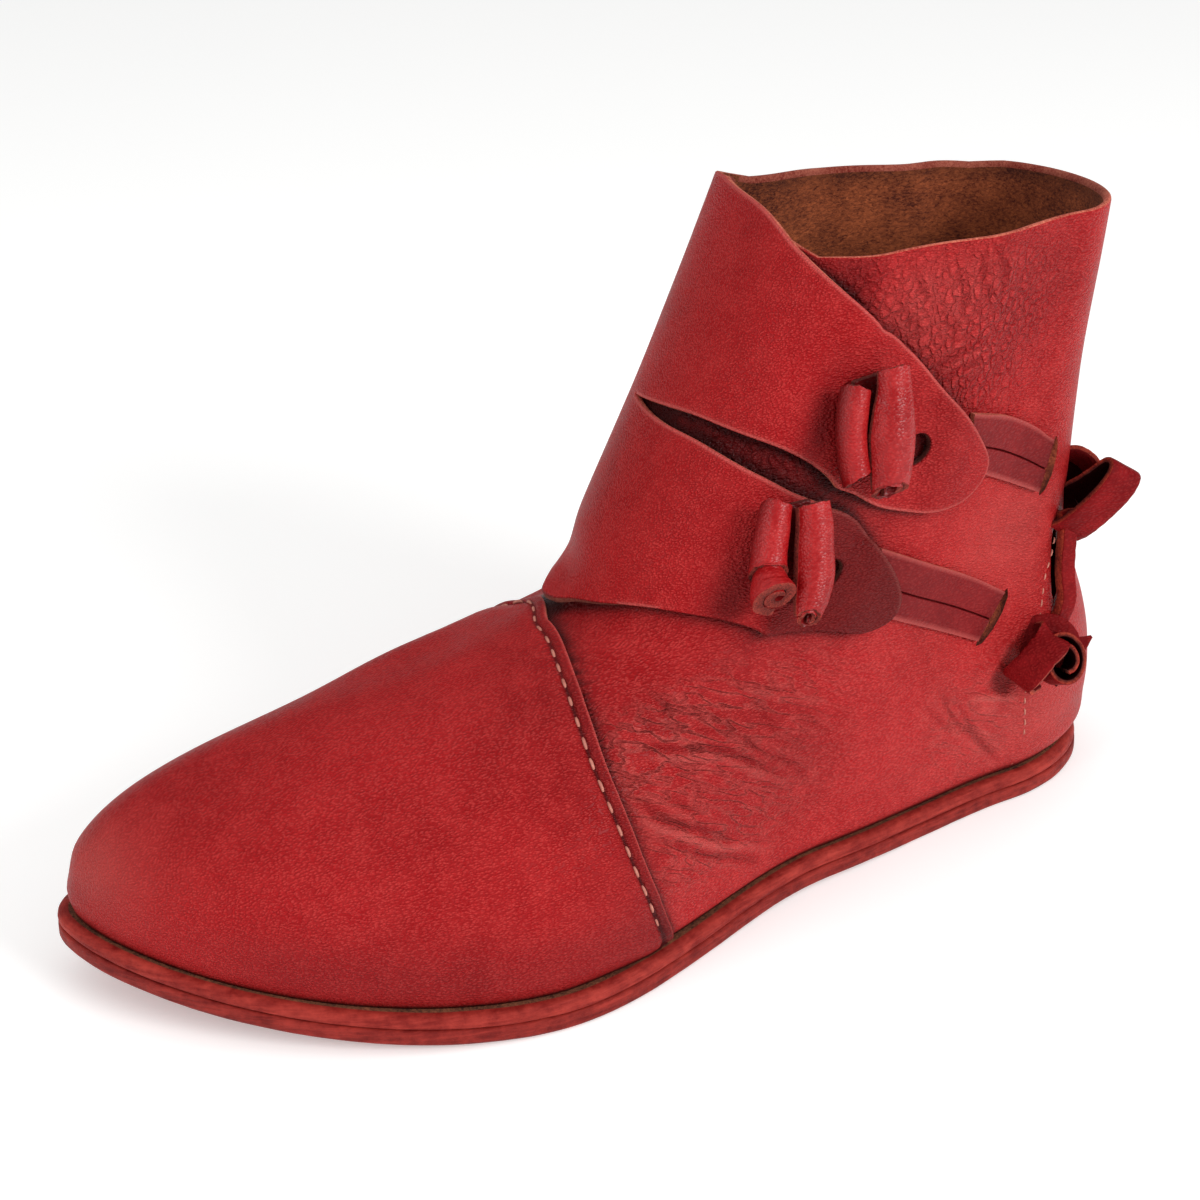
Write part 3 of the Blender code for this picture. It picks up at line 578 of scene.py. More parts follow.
# %% Creases of the quarter
# Depth (minus is a ridge), half width, and the turn and height of points along it.
CREASES = (
    (0.52, 1.1, ((88, 57.8), (95.9, 54.1), (100.9, 50.8), (105.5, 44.8), (109.6, 37.4))),
    (-0.32, 1.0, ((90, 56.7), (96.4, 52.4), (101.3, 49.4), (106.2, 42.3), (110.6, 34.2))),
    (0.33, 0.9, ((92.0, 63.7), (98.7, 57.5), (103.8, 50.7), (107.0, 45.0))),
    (0.33, 0.9, ((103.4, 51.0), (107.0, 45.0), (110.4, 39.0), (112.8, 31.2))),
    (0.28, 0.9, ((63.5, 68.9), (86.4, 64.3), (96.1, 57.3), (100.9, 51.0))),
    (0.28, 0.9, ((66.6, 65.1), (82.8, 62.7), (94.3, 58.0), (98.4, 52.6))),
    (0.52, 1.1, ((93.5, 48.2), (97.0, 41.4), (101.0, 34.9), (104.4, 27.9))),
    (-0.34, 1.0, ((94.0, 45.5), (96.2, 39.9), (99.2, 35.4), (103.2, 27.5), (106.3, 23.2), (109.6, 16.1))),
    (0.38, 0.9, ((97.3, 37.1), (101.2, 28.5), (105.4, 21.1), (108.3, 14.9))),
    (0.28, 0.9, ((95.9, 47.3), (99.2, 41.2), (101.8, 34.8))),
    (-0.20, 1.0, ((95.5, 63.4), (101.2, 60.8), (108.3, 55.7), (111.8, 52.9))),
    (0.24, 0.9, ((107.8, 54.1), (110.8, 49.6), (113.4, 44.0))),
    (0.28, 0.9, ((75.0, 66.4), (91.7, 62.4), (98.2, 55.9), (103.3, 50.3))),
    (0.24, 0.9, ((95.5, 65.3), (102.5, 58.1), (106.8, 50.3), (109.0, 44.4))),
    (0.43, 0.9, ((125.2, 46.0), (127.7, 33.3), (129.4, 27.5), (132.6, 17.1))),
    (0.38, 0.9, ((127.7, 38.3), (131.0, 23.3), (133.5, 14.1))),
    (0.28, 0.9, ((123.8, 41.3), (126.4, 33.7), (128.4, 25.7))),
    (0.9, 3.0, ((131.5, 41.0), (133.0, 38.4), (134.0, 36.0))),
    (-0.47, 0.9, ((129.0, 37.0), (132.0, 35.0), (135.0, 31.5))),
    (0.38, 0.9, ((95.0, 154.8), (97.5, 150.7), (100.1, 146.5))),
    (0.38, 0.9, ((93.0, 148.6), (96.6, 143.8), (99.9, 139.9))),
    (0.33, 0.9, ((103.9, 131.5), (108.1, 133.5), (112.9, 135.7))),
    (0.33, 0.9, ((106.8, 128.4), (111.5, 130.7), (118.6, 130.5))),
    (0.28, 0.9, ((108.1, 158.9), (109.1, 152.6), (112.6, 146.1))),
    (0.28, 0.9, ((103.0, 155.5), (106.0, 149.3), (107.0, 143.4))),
    (0.28, 0.9, ((112.0, 157.8), (114.4, 152.4), (115.0, 146.5))),
    (0.28, 0.9, ((100.9, 146.4), (105.4, 141.3), (107.3, 136.6))),
)
CREASE_REACH = 9.0
print(len(CREASES), "creases")


# %% Depth of the creases
def batches(points):
    """Slices that take up the points some thousands at a time, to save memory."""
    return [slice(start, start + 4000) for start in range(0, len(points), 4000)]


def nearest(points, line):
    """Distance of each point from a dense line, and how far along it, from 0 to 1."""
    found, along = np.empty(len(points)), np.empty(len(points))
    for some in batches(points):
        gaps = np.linalg.norm(points[some, None] - line[None], axis=2)
        found[some] = gaps.min(axis=1)
        along[some] = gaps.argmin(axis=1) / (len(line) - 1)
    return found, along


def crease_lift(turn, z):
    """How far creases move the grain side at turns and heights, in millimetres."""
    moved = np.zeros(turn.shape)
    for depth, width, line in CREASES:
        line = smooth_line(line, 60)
        near = ((turn > line[:, 0].min() - CREASE_REACH) & (turn < line[:, 0].max() + CREASE_REACH)
                & (z > line[:, 1].min() - CREASE_REACH) & (z < line[:, 1].max() + CREASE_REACH))
        if not near.any():
            continue
        gap, along = nearest(wall(turn[near], z[near]), wall(line[:, 0], line[:, 1]))
        fade = np.clip(np.sin(np.pi * along), 0, 1) ** 0.6
        trough = bell(gap, width) - 0.3 * bell(gap - 2.1 * width, width)
        moved[near] -= depth * fade * trough
    return moved


sample = np.meshgrid(np.arange(60.0, 140.0), np.arange(15.0, 160.0))
print("deepest crease:", crease_lift(*sample).min().round(2), "mm")

# %% [markdown]
# The quarter takes painted shade along the edge of the flap that is wrapped over it, so the flap's outline
# comes first. It is drawn as turns and heights and laid flat, as cut leather is.

# %% Flap outline
FLAP_RUNS = (
    ((-75, 165.4), (-50, 167.8), (-26, 169.5)),
    ((-26, 169.5), (10.5, 167), (38.5, 160), (65, 152.5), (82, 147), (91, 143), (96.5, 138), (101, 133),
     (106.5, 126), (112, 119), (117, 111), (119.5, 105.5), (119, 101), (116, 97.3), (112, 96.3), (107, 97),
     (99.5, 100.5), (92.5, 106), (82, 111.5), (66.5, 116.5), (50, 119.5), (23, 122), (1.5, 121.5), (-22, 119.6)),
    ((-22, 119.6), (5, 118.5), (28.5, 117), (55.5, 112), (72, 107.8), (88.5, 103.5), (95, 99.5), (99.5, 93.5),
     (104, 87), (107.3, 81.5), (109.6, 77), (110.8, 73), (110.3, 70.6), (107, 70.2), (98.5, 73.6), (76, 78),
     (55, 80.6), (32, 81.2), (10.5, 78.3), (-10, 75.0)),
    ((-10, 75.0), (-23, 73.9), (-33, 75.2), (-45, 77.5), (-75, 80)),
)
FLAP_ROOT = (-75.0, 80.0, 165.4)
BUTTONHOLES = ((105.4, 113.0), (98.3, 86.4))
# The toggles' pull has stretched the holes towards them.
HOLE_RADIUS, HOLE_MOVED = 3.8, (-2.8, -6.2)
EDGE_STEP, FLAP_STEP = 1.2, 1.7
EDGE_RINGS = (0.3, 0.85, 1.9)
print("flap outline drawn in", len(FLAP_RUNS), "runs")

# %% Flap laid flat
SWEEP = np.linspace(-85, 130, 431)
UNROLLED = run_lengths(wall(SWEEP, 110))


def flat_place(turn_and_z):
    """The leather laid flat: length round the ankle, and height."""
    turn_and_z = np.asarray(turn_and_z, float)
    return np.column_stack([np.interp(turn_and_z[:, 0], SWEEP, UNROLLED), turn_and_z[:, 1]])


def even_steps(line, step):
    run = run_lengths(line)
    at = np.linspace(0, run[-1], max(2, int(round(run[-1] / step)) + 1))
    return np.column_stack([np.interp(at, run, line[:, k]) for k in range(2)])


def line_distance(points, line):
    """Distance of flat points from a closed line's segments."""
    a, b = line, np.roll(line, -1, axis=0)
    ab = b - a
    found = np.empty(len(points))
    for some in batches(points):
        ap = points[some, None] - a[None]
        t = np.clip((ap * ab[None]).sum(axis=2) / (ab * ab).sum(axis=1)[None], 0, 1)
        found[some] = np.linalg.norm(ap - t[..., None] * ab[None], axis=2).min(axis=1)
    return found


outline = []
for run in FLAP_RUNS:
    run = smooth_line(run, 40 * (len(run) - 1) + 1)
    outline.append(even_steps(flat_place(run), EDGE_STEP)[:-1])
root = np.column_stack([np.full(60, FLAP_ROOT[0]), np.linspace(FLAP_ROOT[1], FLAP_ROOT[2], 60)])
outline.append(even_steps(flat_place(root), EDGE_STEP)[:-1])
outline = np.concatenate(outline)
angle = np.linspace(0, 2 * np.pi, 20, endpoint=False)
holes = [flat_place([hole]) + (moved, 0) + HOLE_RADIUS * np.column_stack([np.cos(angle), np.sin(angle)])
         for hole, moved in zip(BUTTONHOLES, HOLE_MOVED)]
print("flap outline:", len(outline), "points")


# %% Edges and spots of the quarters
# The collar as turns and heights, the vamp's seam as heights and places along the foot.
COLLAR = np.array([(-180, 160.7), (-160, 160.5), (-150, 159.7), (-130, 160.2), (-110, 161.8), (-90, 164.0),
                   (-75, 165.6), (-50, 167.5), (-26, 168.3), (10, 165.5), (46, 159.5), (120, 161.5), (180, 160.7)])
SEAM = np.array([(7, -15), (21, -19.4), (34, -23.4), (43, -25.2), (55, -27.0), (63, -26.7), (69, -24.7),
                 (74, -19.8), (80, -11.8)])
SEAM = smooth_line(SEAM, 81)
SEAM_BACK = 7.0
QUARTER_TURNS = np.concatenate([
    np.arange(-180, -135, 2.0), np.arange(-135, -90, 1.5), np.arange(-90, 50, 4.0), np.arange(50, 90, 0.85),
    np.arange(90, 115, 0.24), np.arange(115, 135, 0.4), np.arange(135, 180, 0.85)])
# Heights of the grain side's rows as shares of the wall: close together over the creased ball.
ROW_SHARES = np.concatenate([np.linspace(0, 0.43, 88, endpoint=False), np.linspace(0.43, 1, 68)])
INSIDE_ROWS = 34
# The raw collar edge in section: how far down from the top, and how deep into the wall.
COLLAR_EDGE = ((0.75, 0.0), (0.3, 0.08), (0.06, 0.35), (0.0, 0.8), (0.25, 1.4), (0.95, 1.75))
# Soft spots on the quarters: amount, turn, height, and how far each reaches in turn and in height.
PEBBLED = ((1.0, 106, 142, 27, 22), (0.9, 55, 117, 45, 9), (0.4, 115, 125, 14, 22), (0.6, 72, 152, 18, 12))
WRINKLED = ((0.75, 96, 54, 15, 13), (0.6, 103, 31, 9, 11), (0.5, 130, 30, 6, 14), (0.5, 80, 60, 14, 8))
# Spots of painted shade; the last two lie under the buttonholes.
SHADED_SPOTS = ((0.38, 68, 156, 17, 12), (0.15, 80, 66, 24, 12), (0.14, 106, 45, 12, 14), (0.2, 130, 148, 14, 18),
           (0.9, 104, 113, 5, 7), (0.9, 95.5, 86, 5, 7))
# Spots of painted highlight.
HIGHLIGHT_SPOTS = ((0.18, 131, 79, 12, 20), (0.2, 142, 25, 14, 16), (0.15, 100, 146, 14, 14))
# The instep is fuller on the inner side than the last, and hollow above that, under the flap.
INSTEP = ((2.7, -53, 60, 20, 5.5), (-2.2, -58, 72, 20, 3.5))
# The slit between the flap's tabs, as turns and heights, and the thong's line at the back.
TAB_SLIT = ((-18, 43, 85, 95, 104), (119.6, 118, 108, 101.5, 93))
THONG_LINE = ((148.2, 144.3), (75.5, 57))
# Above this height the vamp's seam is hidden by the flap.
SEAM_TOP = 82
print("quarters:", len(QUARTER_TURNS), "turns by", len(ROW_SHARES), "rows outside")


# %% Lifts and shades of the quarters
def seam_y(turn, z):
    """Where the vamp ends along the foot. On the inner side its seam lies further back."""
    return np.interp(z, SEAM[:, 0], SEAM[:, 1]) + SEAM_BACK * soft(-turn / 45)


def over_sole(turn, z):
    """In front the hide bulges over the sole's margin. Behind the vamp it stands off it, above a dark gap."""
    return 1.1 * bell(z - 12.5, 4.5) - 0.9 * soft((np.abs(turn) - 88) / 14) * bell(z - 8.5, 3.0)


def beside_flap(turn, z):
    """Painted shade on the hide along the flap's cut edge."""
    near = (turn > -60) & (turn < 128) & (z > 62)
    gap = line_distance(flat_place(np.column_stack([turn[near], z[near]])), outline)
    shade = np.zeros(turn.shape)
    shade[near] = 0.5 * bell(gap, 1.3) + 0.22 * bell(gap, 4.5)
    return shade


def thong_shade(turn, z):
    """Painted shade in the gap beside the thong at the back."""
    line = wall(*(np.linspace(*ends, 30) for ends in THONG_LINE))
    near = (np.abs(turn - 146) < 8) & (np.abs(z - 66) < 16)
    shade = np.zeros(turn.shape)
    shade[near] = bell(nearest(wall(turn[near], z[near]), line)[0], 2.0)
    return shade


print("the vamp ends at", seam_y(90, SEAM[0, 0]).round(1), "mm along the foot, at the sole")


# %% Quarters
def quarters():
    n = len(QUARTER_TURNS)
    top = np.interp(QUARTER_TURNS, COLLAR[:, 0], COLLAR[:, 1])
    top = top + 0.35 * ripple(wall(QUARTER_TURNS, top), 14, 3)
    low = FINE_Z[0]
    z = low + ROW_SHARES[:, None] * (top - COLLAR_EDGE[0][0] - low)[None]
    turn = np.broadcast_to(QUARTER_TURNS, z.shape)
    flat = wall(turn, z)
    # The vamp covers the hide in front of its seam, so it lies deeper there.
    behind = flat[..., 1] - seam_y(turn, z)
    covered = soft((-1.0 - behind) / 2.5) * (z < SEAM_TOP)
    crease = crease_lift(turn, z)
    lift = (crease - 1.6 * covered + over_sole(turn, z) + spots(turn, z, INSTEP)
            + 0.14 * ripple(flat, 16, 5) * (z > 12))
    rows = [wall(turn, z, lift)]
    rows += [wall(QUARTER_TURNS, top - down, -deep)[None] for down, deep in COLLAR_EDGE[1:]]
    share = np.linspace(1, 0, INSIDE_ROWS)[:, None]
    z_in = low + share * (top - COLLAR_EDGE[-1][0] - 0.6 - low)[None]
    # Where the instep is hollow the inside gives way with it.
    given = np.minimum(spots(turn[:INSIDE_ROWS], z_in, INSTEP), 0)
    rows.append(wall(turn[:INSIDE_ROWS], z_in, given - WALL))
    grid = np.concatenate(rows)
    total, outside = len(grid), len(ROW_SHARES)
    faces = band(total, n)
    faces += [[(total - 1) * n + j, (total - 1) * n + (j + 1) % n, (j + 1) % n, j] for j in range(n)]
    row_of = np.repeat(np.arange(total - 1), n)
    kinds = np.where(row_of < outside, 0, np.where(row_of < outside + len(COLLAR_EDGE) - 1, 1, 2))
    made = piece("quarters", grid.reshape(-1, 3), faces, (quarter_leather, cut_leather, flesh_suede),
                 ("upper",), np.concatenate([kinds, np.full(n, 2)]))
    # Painted shade: a shadow line beside the vamp's edge, the creases' troughs, the gap at the foot, the flap's
    # edge, the gap beside the thong, and spots.
    gap = np.where((z < SEAM_TOP) & (behind > -3), np.abs(behind + 0.3), 50)
    dark = 0.8 * bell(gap, 1.3) + 0.22 * bell(gap, 4)
    dark = dark + 0.8 * np.clip(-crease, 0, 0.6) + 0.85 * bell(z - low, 2.4)
    dark = dark + beside_flap(turn, z) + 0.7 * thong_shade(turn, z) + spots(turn, z, SHADED_SPOTS)
    # Painted shade in the slit between the flap's tabs.
    in_slit = bell(z - np.interp(turn, *TAB_SLIT), 5.5) * soft((turn + 25) / 6) * (1 - soft((turn - 84) / 22))
    rest = np.zeros((total - outside, n))
    # The far part of the raw collar edge gets painted shade.
    rim = rest.copy()
    rim[:len(COLLAR_EDGE)] = 0.45 * np.clip(
        soft((-35 - QUARTER_TURNS) / 20) + soft((QUARTER_TURNS - 150) / 15), 0, 1)
    # The pale mark is painted highlight on the creases' ridges and in spots.
    for name, shown, most, beyond in (("pebble", spots(turn, z, PEBBLED), 1, rest),
                                      ("wrinkle", spots(turn, z, WRINKLED), 1, rest),
                                      ("dark", dark + 0.6 * in_slit, 0.95, rim),
                                      ("pale", 0.9 * np.clip(crease, 0, 0.5) + spots(turn, z, HIGHLIGHT_SPOTS), 0.6, rest)):
        paint(made, name, np.concatenate([np.clip(shown, 0, most), beyond]))
    return made


upper_hide = quarters()

# %% [markdown]
# The straps go into two slots in the outer quarter, and a slit beside the thong at the back stands for the
# dark shade there. A thin lens-shaped block is cut out of the hide for each, and its walls take the block's
# own finish: raw brown fibre in the slots, and a near-black painted shade in the slit. A strap's slot has
# its far wall worn to a slope, so that its fibres show.

# %% Places on the upper
def frame_at(turn, z, lift):
    """A point off the upper with its outward normal, the upward way along it and the way round it."""
    point = wall(turn, z, lift)
    normal = wall(turn, z, lift + 1) - point
    upward = unit(np.array([0, 0, 1.0]) - normal * normal[2])
    return point, normal, upward, np.cross(upward, normal)


def outer_turn(y, z):
    """The turn on the outer side at a place along the foot and a height."""
    sweep = np.linspace(0, 180, 721)
    return float(np.interp(y, wall(sweep, np.full(len(sweep), z))[:, 1], sweep))


print("turn above the heel's middle:", round(outer_turn(102, 60), 1))

# %% Slots
# Ends of each cut as places along the foot and heights, half its width, how far one wall splays, and its
# finish.
SLOTS = (((110.3, 103.0), (105.9, 87.8), 1.1, 1.5, slot_leather),
         ((96.9, 64.5), (85.8, 51.7), 1.1, 1.5, slot_leather))
# The slit, which stands for the shade beside the thong, has its ends as turns and heights.
BACK_SLIT = ((148.6, 76.5), (144.6, 56.5), 1.7, 0.3, gap_leather)
LENS = np.array([(1, 0), (0.8, 0.6), (0.3, 1), (-0.3, 1), (-0.8, 0.6), (-1, 0), (-0.8, -0.6), (-0.3, -1),
                 (0.3, -1), (0.8, -0.6)])
# How deep the block's three rings lie: below the wall, on its face and above it.
SLOT_RINGS = (-WALL - 1.0, 0.0, 3.0)
cuts = [([(outer_turn(y, z), z) for y, z in row[:2]], *row[2:]) for row in SLOTS]
cuts.append((BACK_SLIT[:2], *BACK_SLIT[2:]))
for ends, half_wide, splay, finish in cuts:
    ends = [wall(turn, z) for turn, z in ends]
    centre, along = (ends[0] + ends[1]) / 2, (ends[0] - ends[1]) / 2
    _, normal, _, heelward = frame_at(outer_turn(centre[1], centre[2]), centre[2], 0)
    across = np.cross(unit(along), normal)
    across *= np.sign(across @ heelward)
    corners = []
    for deep in SLOT_RINGS:
        wide = half_wide + np.where(LENS[:, 1] > 0, splay * np.clip(1 + deep / WALL, 0, None), 0)
        corners.append(centre + LENS[:, :1] * along + (LENS[:, 1] * wide)[:, None] * across + normal * deep)
    n = len(LENS)
    mesh = bpy.data.meshes.new("slot")
    mesh.from_pydata(((np.concatenate(corners) - MIDDLE) * MM).tolist(), [],
                     band(3, n) + [list(range(n))[::-1], list(range(2 * n, 3 * n))])
    mesh.materials.append(finish)
    mesh.calc_loop_triangles()
    if sum(np.linalg.det([mesh.vertices[v].co for v in t.vertices]) for t in mesh.loop_triangles) < 0:
        mesh.flip_normals()
    cutter = bpy.data.objects.new("slot", mesh)
    bpy.context.scene.collection.objects.link(cutter)
    step = upper_hide.modifiers.new("slot", "BOOLEAN")
    step.operation, step.solver, step.object, step.material_mode = "DIFFERENCE", "EXACT", cutter, "TRANSFER"
    bpy.context.view_layer.objects.active = upper_hide
    bpy.ops.object.modifier_apply(modifier=step.name)
    bpy.data.objects.remove(cutter)
# The cuts leave many-sided faces, which are split here with care, as a rough split can fold a sliver over.
hide = bmesh.new()
hide.from_mesh(upper_hide.data)
bmesh.ops.triangulate(hide, faces=[face for face in hide.faces if len(face.verts) > 4])
hide.to_mesh(upper_hide.data)
hide.free()
print("quarters after the slots:", len(upper_hide.data.polygons), "faces")

# %% [markdown]
# ## Vamp
# The vamp is a smooth, tight piece over the toes. It laps over the quarters and is sewn a few millimetres
# in from its edge, where the thread pulls a shallow groove. Its grid runs up from the sole to the seam, with
# rows at even steps of length, so that the wide instep gets as many points as the toe.

# %% Vamp seam
def seam_places(count):
    """Turns and heights along the vamp seam, from its inner foot to its outer foot."""
    heights = np.linspace(FINE_Z[0] + 0.4, 110, 700)
    found = []
    for turn in np.linspace(-112, 112, 449):
        y = wall(np.full(len(heights), turn), heights)[:, 1] - seam_y(turn, heights)
        cross = np.where((y[:-1] < 0) & (y[1:] >= 0))[0]
        if len(cross):
            found.append((turn, np.interp(0, y[cross[0]:cross[0] + 2], heights[cross[0]:cross[0] + 2])))
    found = np.array(found)
    run = run_lengths(wall(found[:, 0], found[:, 1]))
    at = np.linspace(0, run[-1], count)
    return np.interp(at, run, found[:, 0]), np.interp(at, run, found[:, 1])


STITCH_IN = 3.1
# Lift of the vamp at distances in from its cut edge: rounded edge, thread groove, then down on the last.
LAP_SHAPE = np.array([(0, 0.7), (0.3, 1.0), (0.8, 1.15), (1.5, 1.15), (2.1, 1.0), (2.6, 0.65), (3.1, 0.45),
                      (3.7, 0.75), (4.5, 1.1), (7.0, 1.1), (11, 0.7), (17, 0.2), (24, 0.0)])
VAMP_ROWS = 128
seam_turn, seam_z = seam_places(420)
seam_line = wall(seam_turn, seam_z)
VAMP_TURNS = np.concatenate([np.linspace(seam_turn[0], -90, 20, endpoint=False),
                             np.linspace(-90, 90, 190, endpoint=False), np.linspace(90, seam_turn[-1], 34)])
print("vamp seam:", run_lengths(seam_line)[-1].round(1), "mm long")


# %% Vamp
def vamp():
    top = np.interp(VAMP_TURNS, seam_turn, seam_z)
    share = np.linspace(0, 1, 240)[:, None]
    z = FINE_Z[0] + share * (top - FINE_Z[0])[None]
    run = run_lengths(wall(VAMP_TURNS[None], z))
    # Rows lie closer together towards the seam, where the lap bends.
    even = 1 - (1 - np.linspace(0, 1, VAMP_ROWS)) ** 1.5
    rows = np.stack([np.interp(even * run[-1, j], run[:, j], z[:, j]) for j in range(len(VAMP_TURNS))], axis=1)
    turn = np.broadcast_to(VAMP_TURNS, rows.shape)
    flat = wall(turn, rows).reshape(-1, 3)
    gap, _ = nearest(flat, seam_line)
    gap = gap.reshape(rows.shape)
    lift = np.interp(gap, LAP_SHAPE[:, 0], LAP_SHAPE[:, 1])
    lift = (lift + 0.14 * ripple(flat, 24, 21).reshape(rows.shape) * soft(gap / 8) + over_sole(turn, rows)
            + spots(turn, rows, INSTEP))
    outer = wall(turn, rows, lift)
    inner = wall(turn, rows, np.minimum(lift - 1.0, 0.1))
    faces, kinds = sheet_faces(VAMP_ROWS, len(VAMP_TURNS))
    made = piece("vamp", np.concatenate([outer.reshape(-1, 3), inner.reshape(-1, 3)]), faces,
                 (vamp_leather, cut_leather), ("upper",), kinds)
    # The skived strip outside the thread is darker, and the thread's groove gets the most painted shade.
    strip = 0.26 * soft((gap - 0.4) / 0.5) * soft((STITCH_IN + 0.7 - gap) / 0.8)
    groove = 0.5 * bell(gap - STITCH_IN, 0.6)
    # Painted shade in the gap at the foot, low on the outer side and near the seam.
    foot = 0.8 * bell(rows - FINE_Z[0], 1.3) + 0.10 * bell(rows - FINE_Z[0], 14)
    deeper = 0.24 * bell(rows - 16, 11) * soft((turn - 30) / 20) + 0.12 * bell(gap, 14) * (turn > 40)
    paint(made, "dark", np.tile(np.clip(strip + groove + foot + deeper, 0, 0.9).ravel(), 2))
    # Painted highlights on the lap's rounded edge and on the toe.
    pale = 0.6 * bell(gap, 0.4) + 0.32 * spot(turn, rows, 8, 24, 14, 9)
    paint(made, "pale", np.tile(pale.ravel(), 2))


vamp()

# %% [markdown]
# ## Thread
# Waxed linen thread, pale pink from the dye. Each stitch is a short bead that dips into the leather at both
# ends. A real stitch is a bit of cord, so it is built as a ring-by-ring bead along the seam and not drawn.

# %% Thread
# Waxed thread has a dull gloss, and its twist shows as small changes of tone.
thread = Finish("waxed linen thread")
thread = thread.done({"Base Color": thread.mix(thread.noise(0.8, 3.0), "#8E4038", "#CC8874"),
                      "Roughness": 0.65})
# Rings of a stitch: place along it as a share of its length, girth and height as shares of its thickness.
BEAD = ((-0.5, 0.25, -0.5), (-0.42, 0.75, 0.0), (-0.2, 1.0, 0.22), (0.2, 1.0, 0.22), (0.42, 0.75, 0.0),
        (0.5, 0.25, -0.5))
print("thread:", thread.name)


# %% Stitches
def stitches(name, path, out, pitch, long, thick):
    """Beads along a dense path on the leather, with the outward way at each point."""
    run = run_lengths(path)
    ring = np.linspace(0, 2 * np.pi, 8, endpoint=False)

    def on(line, here):
        return np.array([np.interp(here, run, line[:, k]) for k in range(3)])

    points, faces = [], []
    rng = np.random.default_rng(31)
    for at in np.arange(pitch * 0.6, run[-1] - pitch * 0.4, pitch):
        at = at + rng.uniform(-0.25, 0.25)
        size = long * rng.uniform(0.88, 1.08)
        start = len(points) * len(ring)
        for share, girth, high in BEAD:
            here = at + share * size
            centre, normal = on(path, here), on(out, here)
            side = unit(np.cross(normal, on(path, here + 0.3) - centre))
            points.append(centre + normal * high * thick + np.outer(np.cos(ring), side) * thick / 2 * girth
                          + np.outer(np.sin(ring), normal) * thick / 2 * girth)
        faces += band(len(BEAD), len(ring), start)
        faces += [[start + k for k in range(len(ring))][::-1],
                  [start + (len(BEAD) - 1) * len(ring) + k for k in range(len(ring))]]
    piece(name, np.concatenate(points), faces, (thread,))


out = wall(seam_turn, seam_z, 1) - seam_line
inward = np.cross(out, np.gradient(seam_line, axis=0))
inward *= -np.sign(inward[:, 1].mean()) / np.linalg.norm(inward, axis=1, keepdims=True)
lift = np.interp(STITCH_IN, LAP_SHAPE[:, 0], LAP_SHAPE[:, 1])
stitches("vamp_stitches", seam_line + inward * STITCH_IN + out * lift, out, pitch=5.4, long=3.2, thick=0.8)
# Turns and heights along the row at the heel.
HEEL_SEAM = ((149.2, 74), (145.8, 69), (142.6, 64.8), (140.6, 58), (138.3, 46), (136.1, 33.3), (136.6, 23.1),
             (136.8, 16.6), (135.6, 9.5))
line = smooth_line(HEEL_SEAM, 300)
# The inner row doesn't show in the photograph, and follows the outer one.
for name, side, long, thick in (("heel_stitches", 1, 2.1, 0.5), ("heel_stitches_inner", -1, 2.3, 0.6)):
    turn, z = line[:, 0] * side, line[:, 1]
    stitches(name, wall(turn, z, 0.02), wall(turn, z, 1) - wall(turn, z), pitch=3.4, long=long, thick=thick)

# %% [markdown]
# ## Wrapped flap
# The inner quarter runs on round the front of the ankle as a flap with two tabs. It could be a grid, but its
# outline has a slit and round tips, so the outline is drawn flat, as cut leather is, filled with points
# inside and wrapped round the last. Near the outline the points follow it in rings, to round the cut edge.

# %% Sizes of the flap
STRAP_THICK, FLAP_GAP, TIP_RUN, TAB_SPLIT = 1.4, 0.6, 8.0, 93.0
TIP_LIFT = STRAP_THICK + GAP
TIP_FROM = {"upper": 103.0, "lower": 95.0}
EDGE_ROUND = 0.3
# Turns and heights of the line that the lower tab lies under, and of the one that its painted-shade edge lies
# under.
LOWER_TAB = ((-18, 10, 43, 85, 95, 104, 112, 122), (119.6, 120, 118, 108, 101.5, 93, 85, 80))
LOW_EDGE = ((-75, -45, -6, 52, 97, 107), (82, 80, 78.5, 82.5, 76, 73))


def inside_line(points, line):
    a, b = line, np.roll(line, -1, axis=0)
    over = (a[None, :, 1] > points[:, None, 1]) != (b[None, :, 1] > points[:, None, 1])
    rise_y = np.where(b[:, 1] == a[:, 1], 1e-9, b[:, 1] - a[:, 1])
    at = a[None, :, 0] + (points[:, None, 1] - a[None, :, 1]) / rise_y[None] * (b[:, 0] - a[:, 0])[None]
    return (over & (points[:, None, 0] < at)).sum(axis=1) % 2 == 1


def flap_under(turn, z):
    """Lift of the flap's inner face. At its root the flap sinks into the inner quarter that it grows from."""
    start = np.where(z > TAB_SPLIT, TIP_FROM["upper"], TIP_FROM["lower"])
    grown = 1 - soft((turn - FLAP_ROOT[0]) / 34)
    over_vamp = 0.9 * soft((86 - z) / 8) * bell(turn + 4, 26) + 1.5 * spot(turn, z, -30, 77, 14, 6)
    return FLAP_GAP + over_vamp + TIP_LIFT * soft((turn - start) / TIP_RUN) - (FLAP_GAP + 1.9) * grown


print("lift at the lower tip:", flap_under(108.0, 75.0).round(2), "mm")


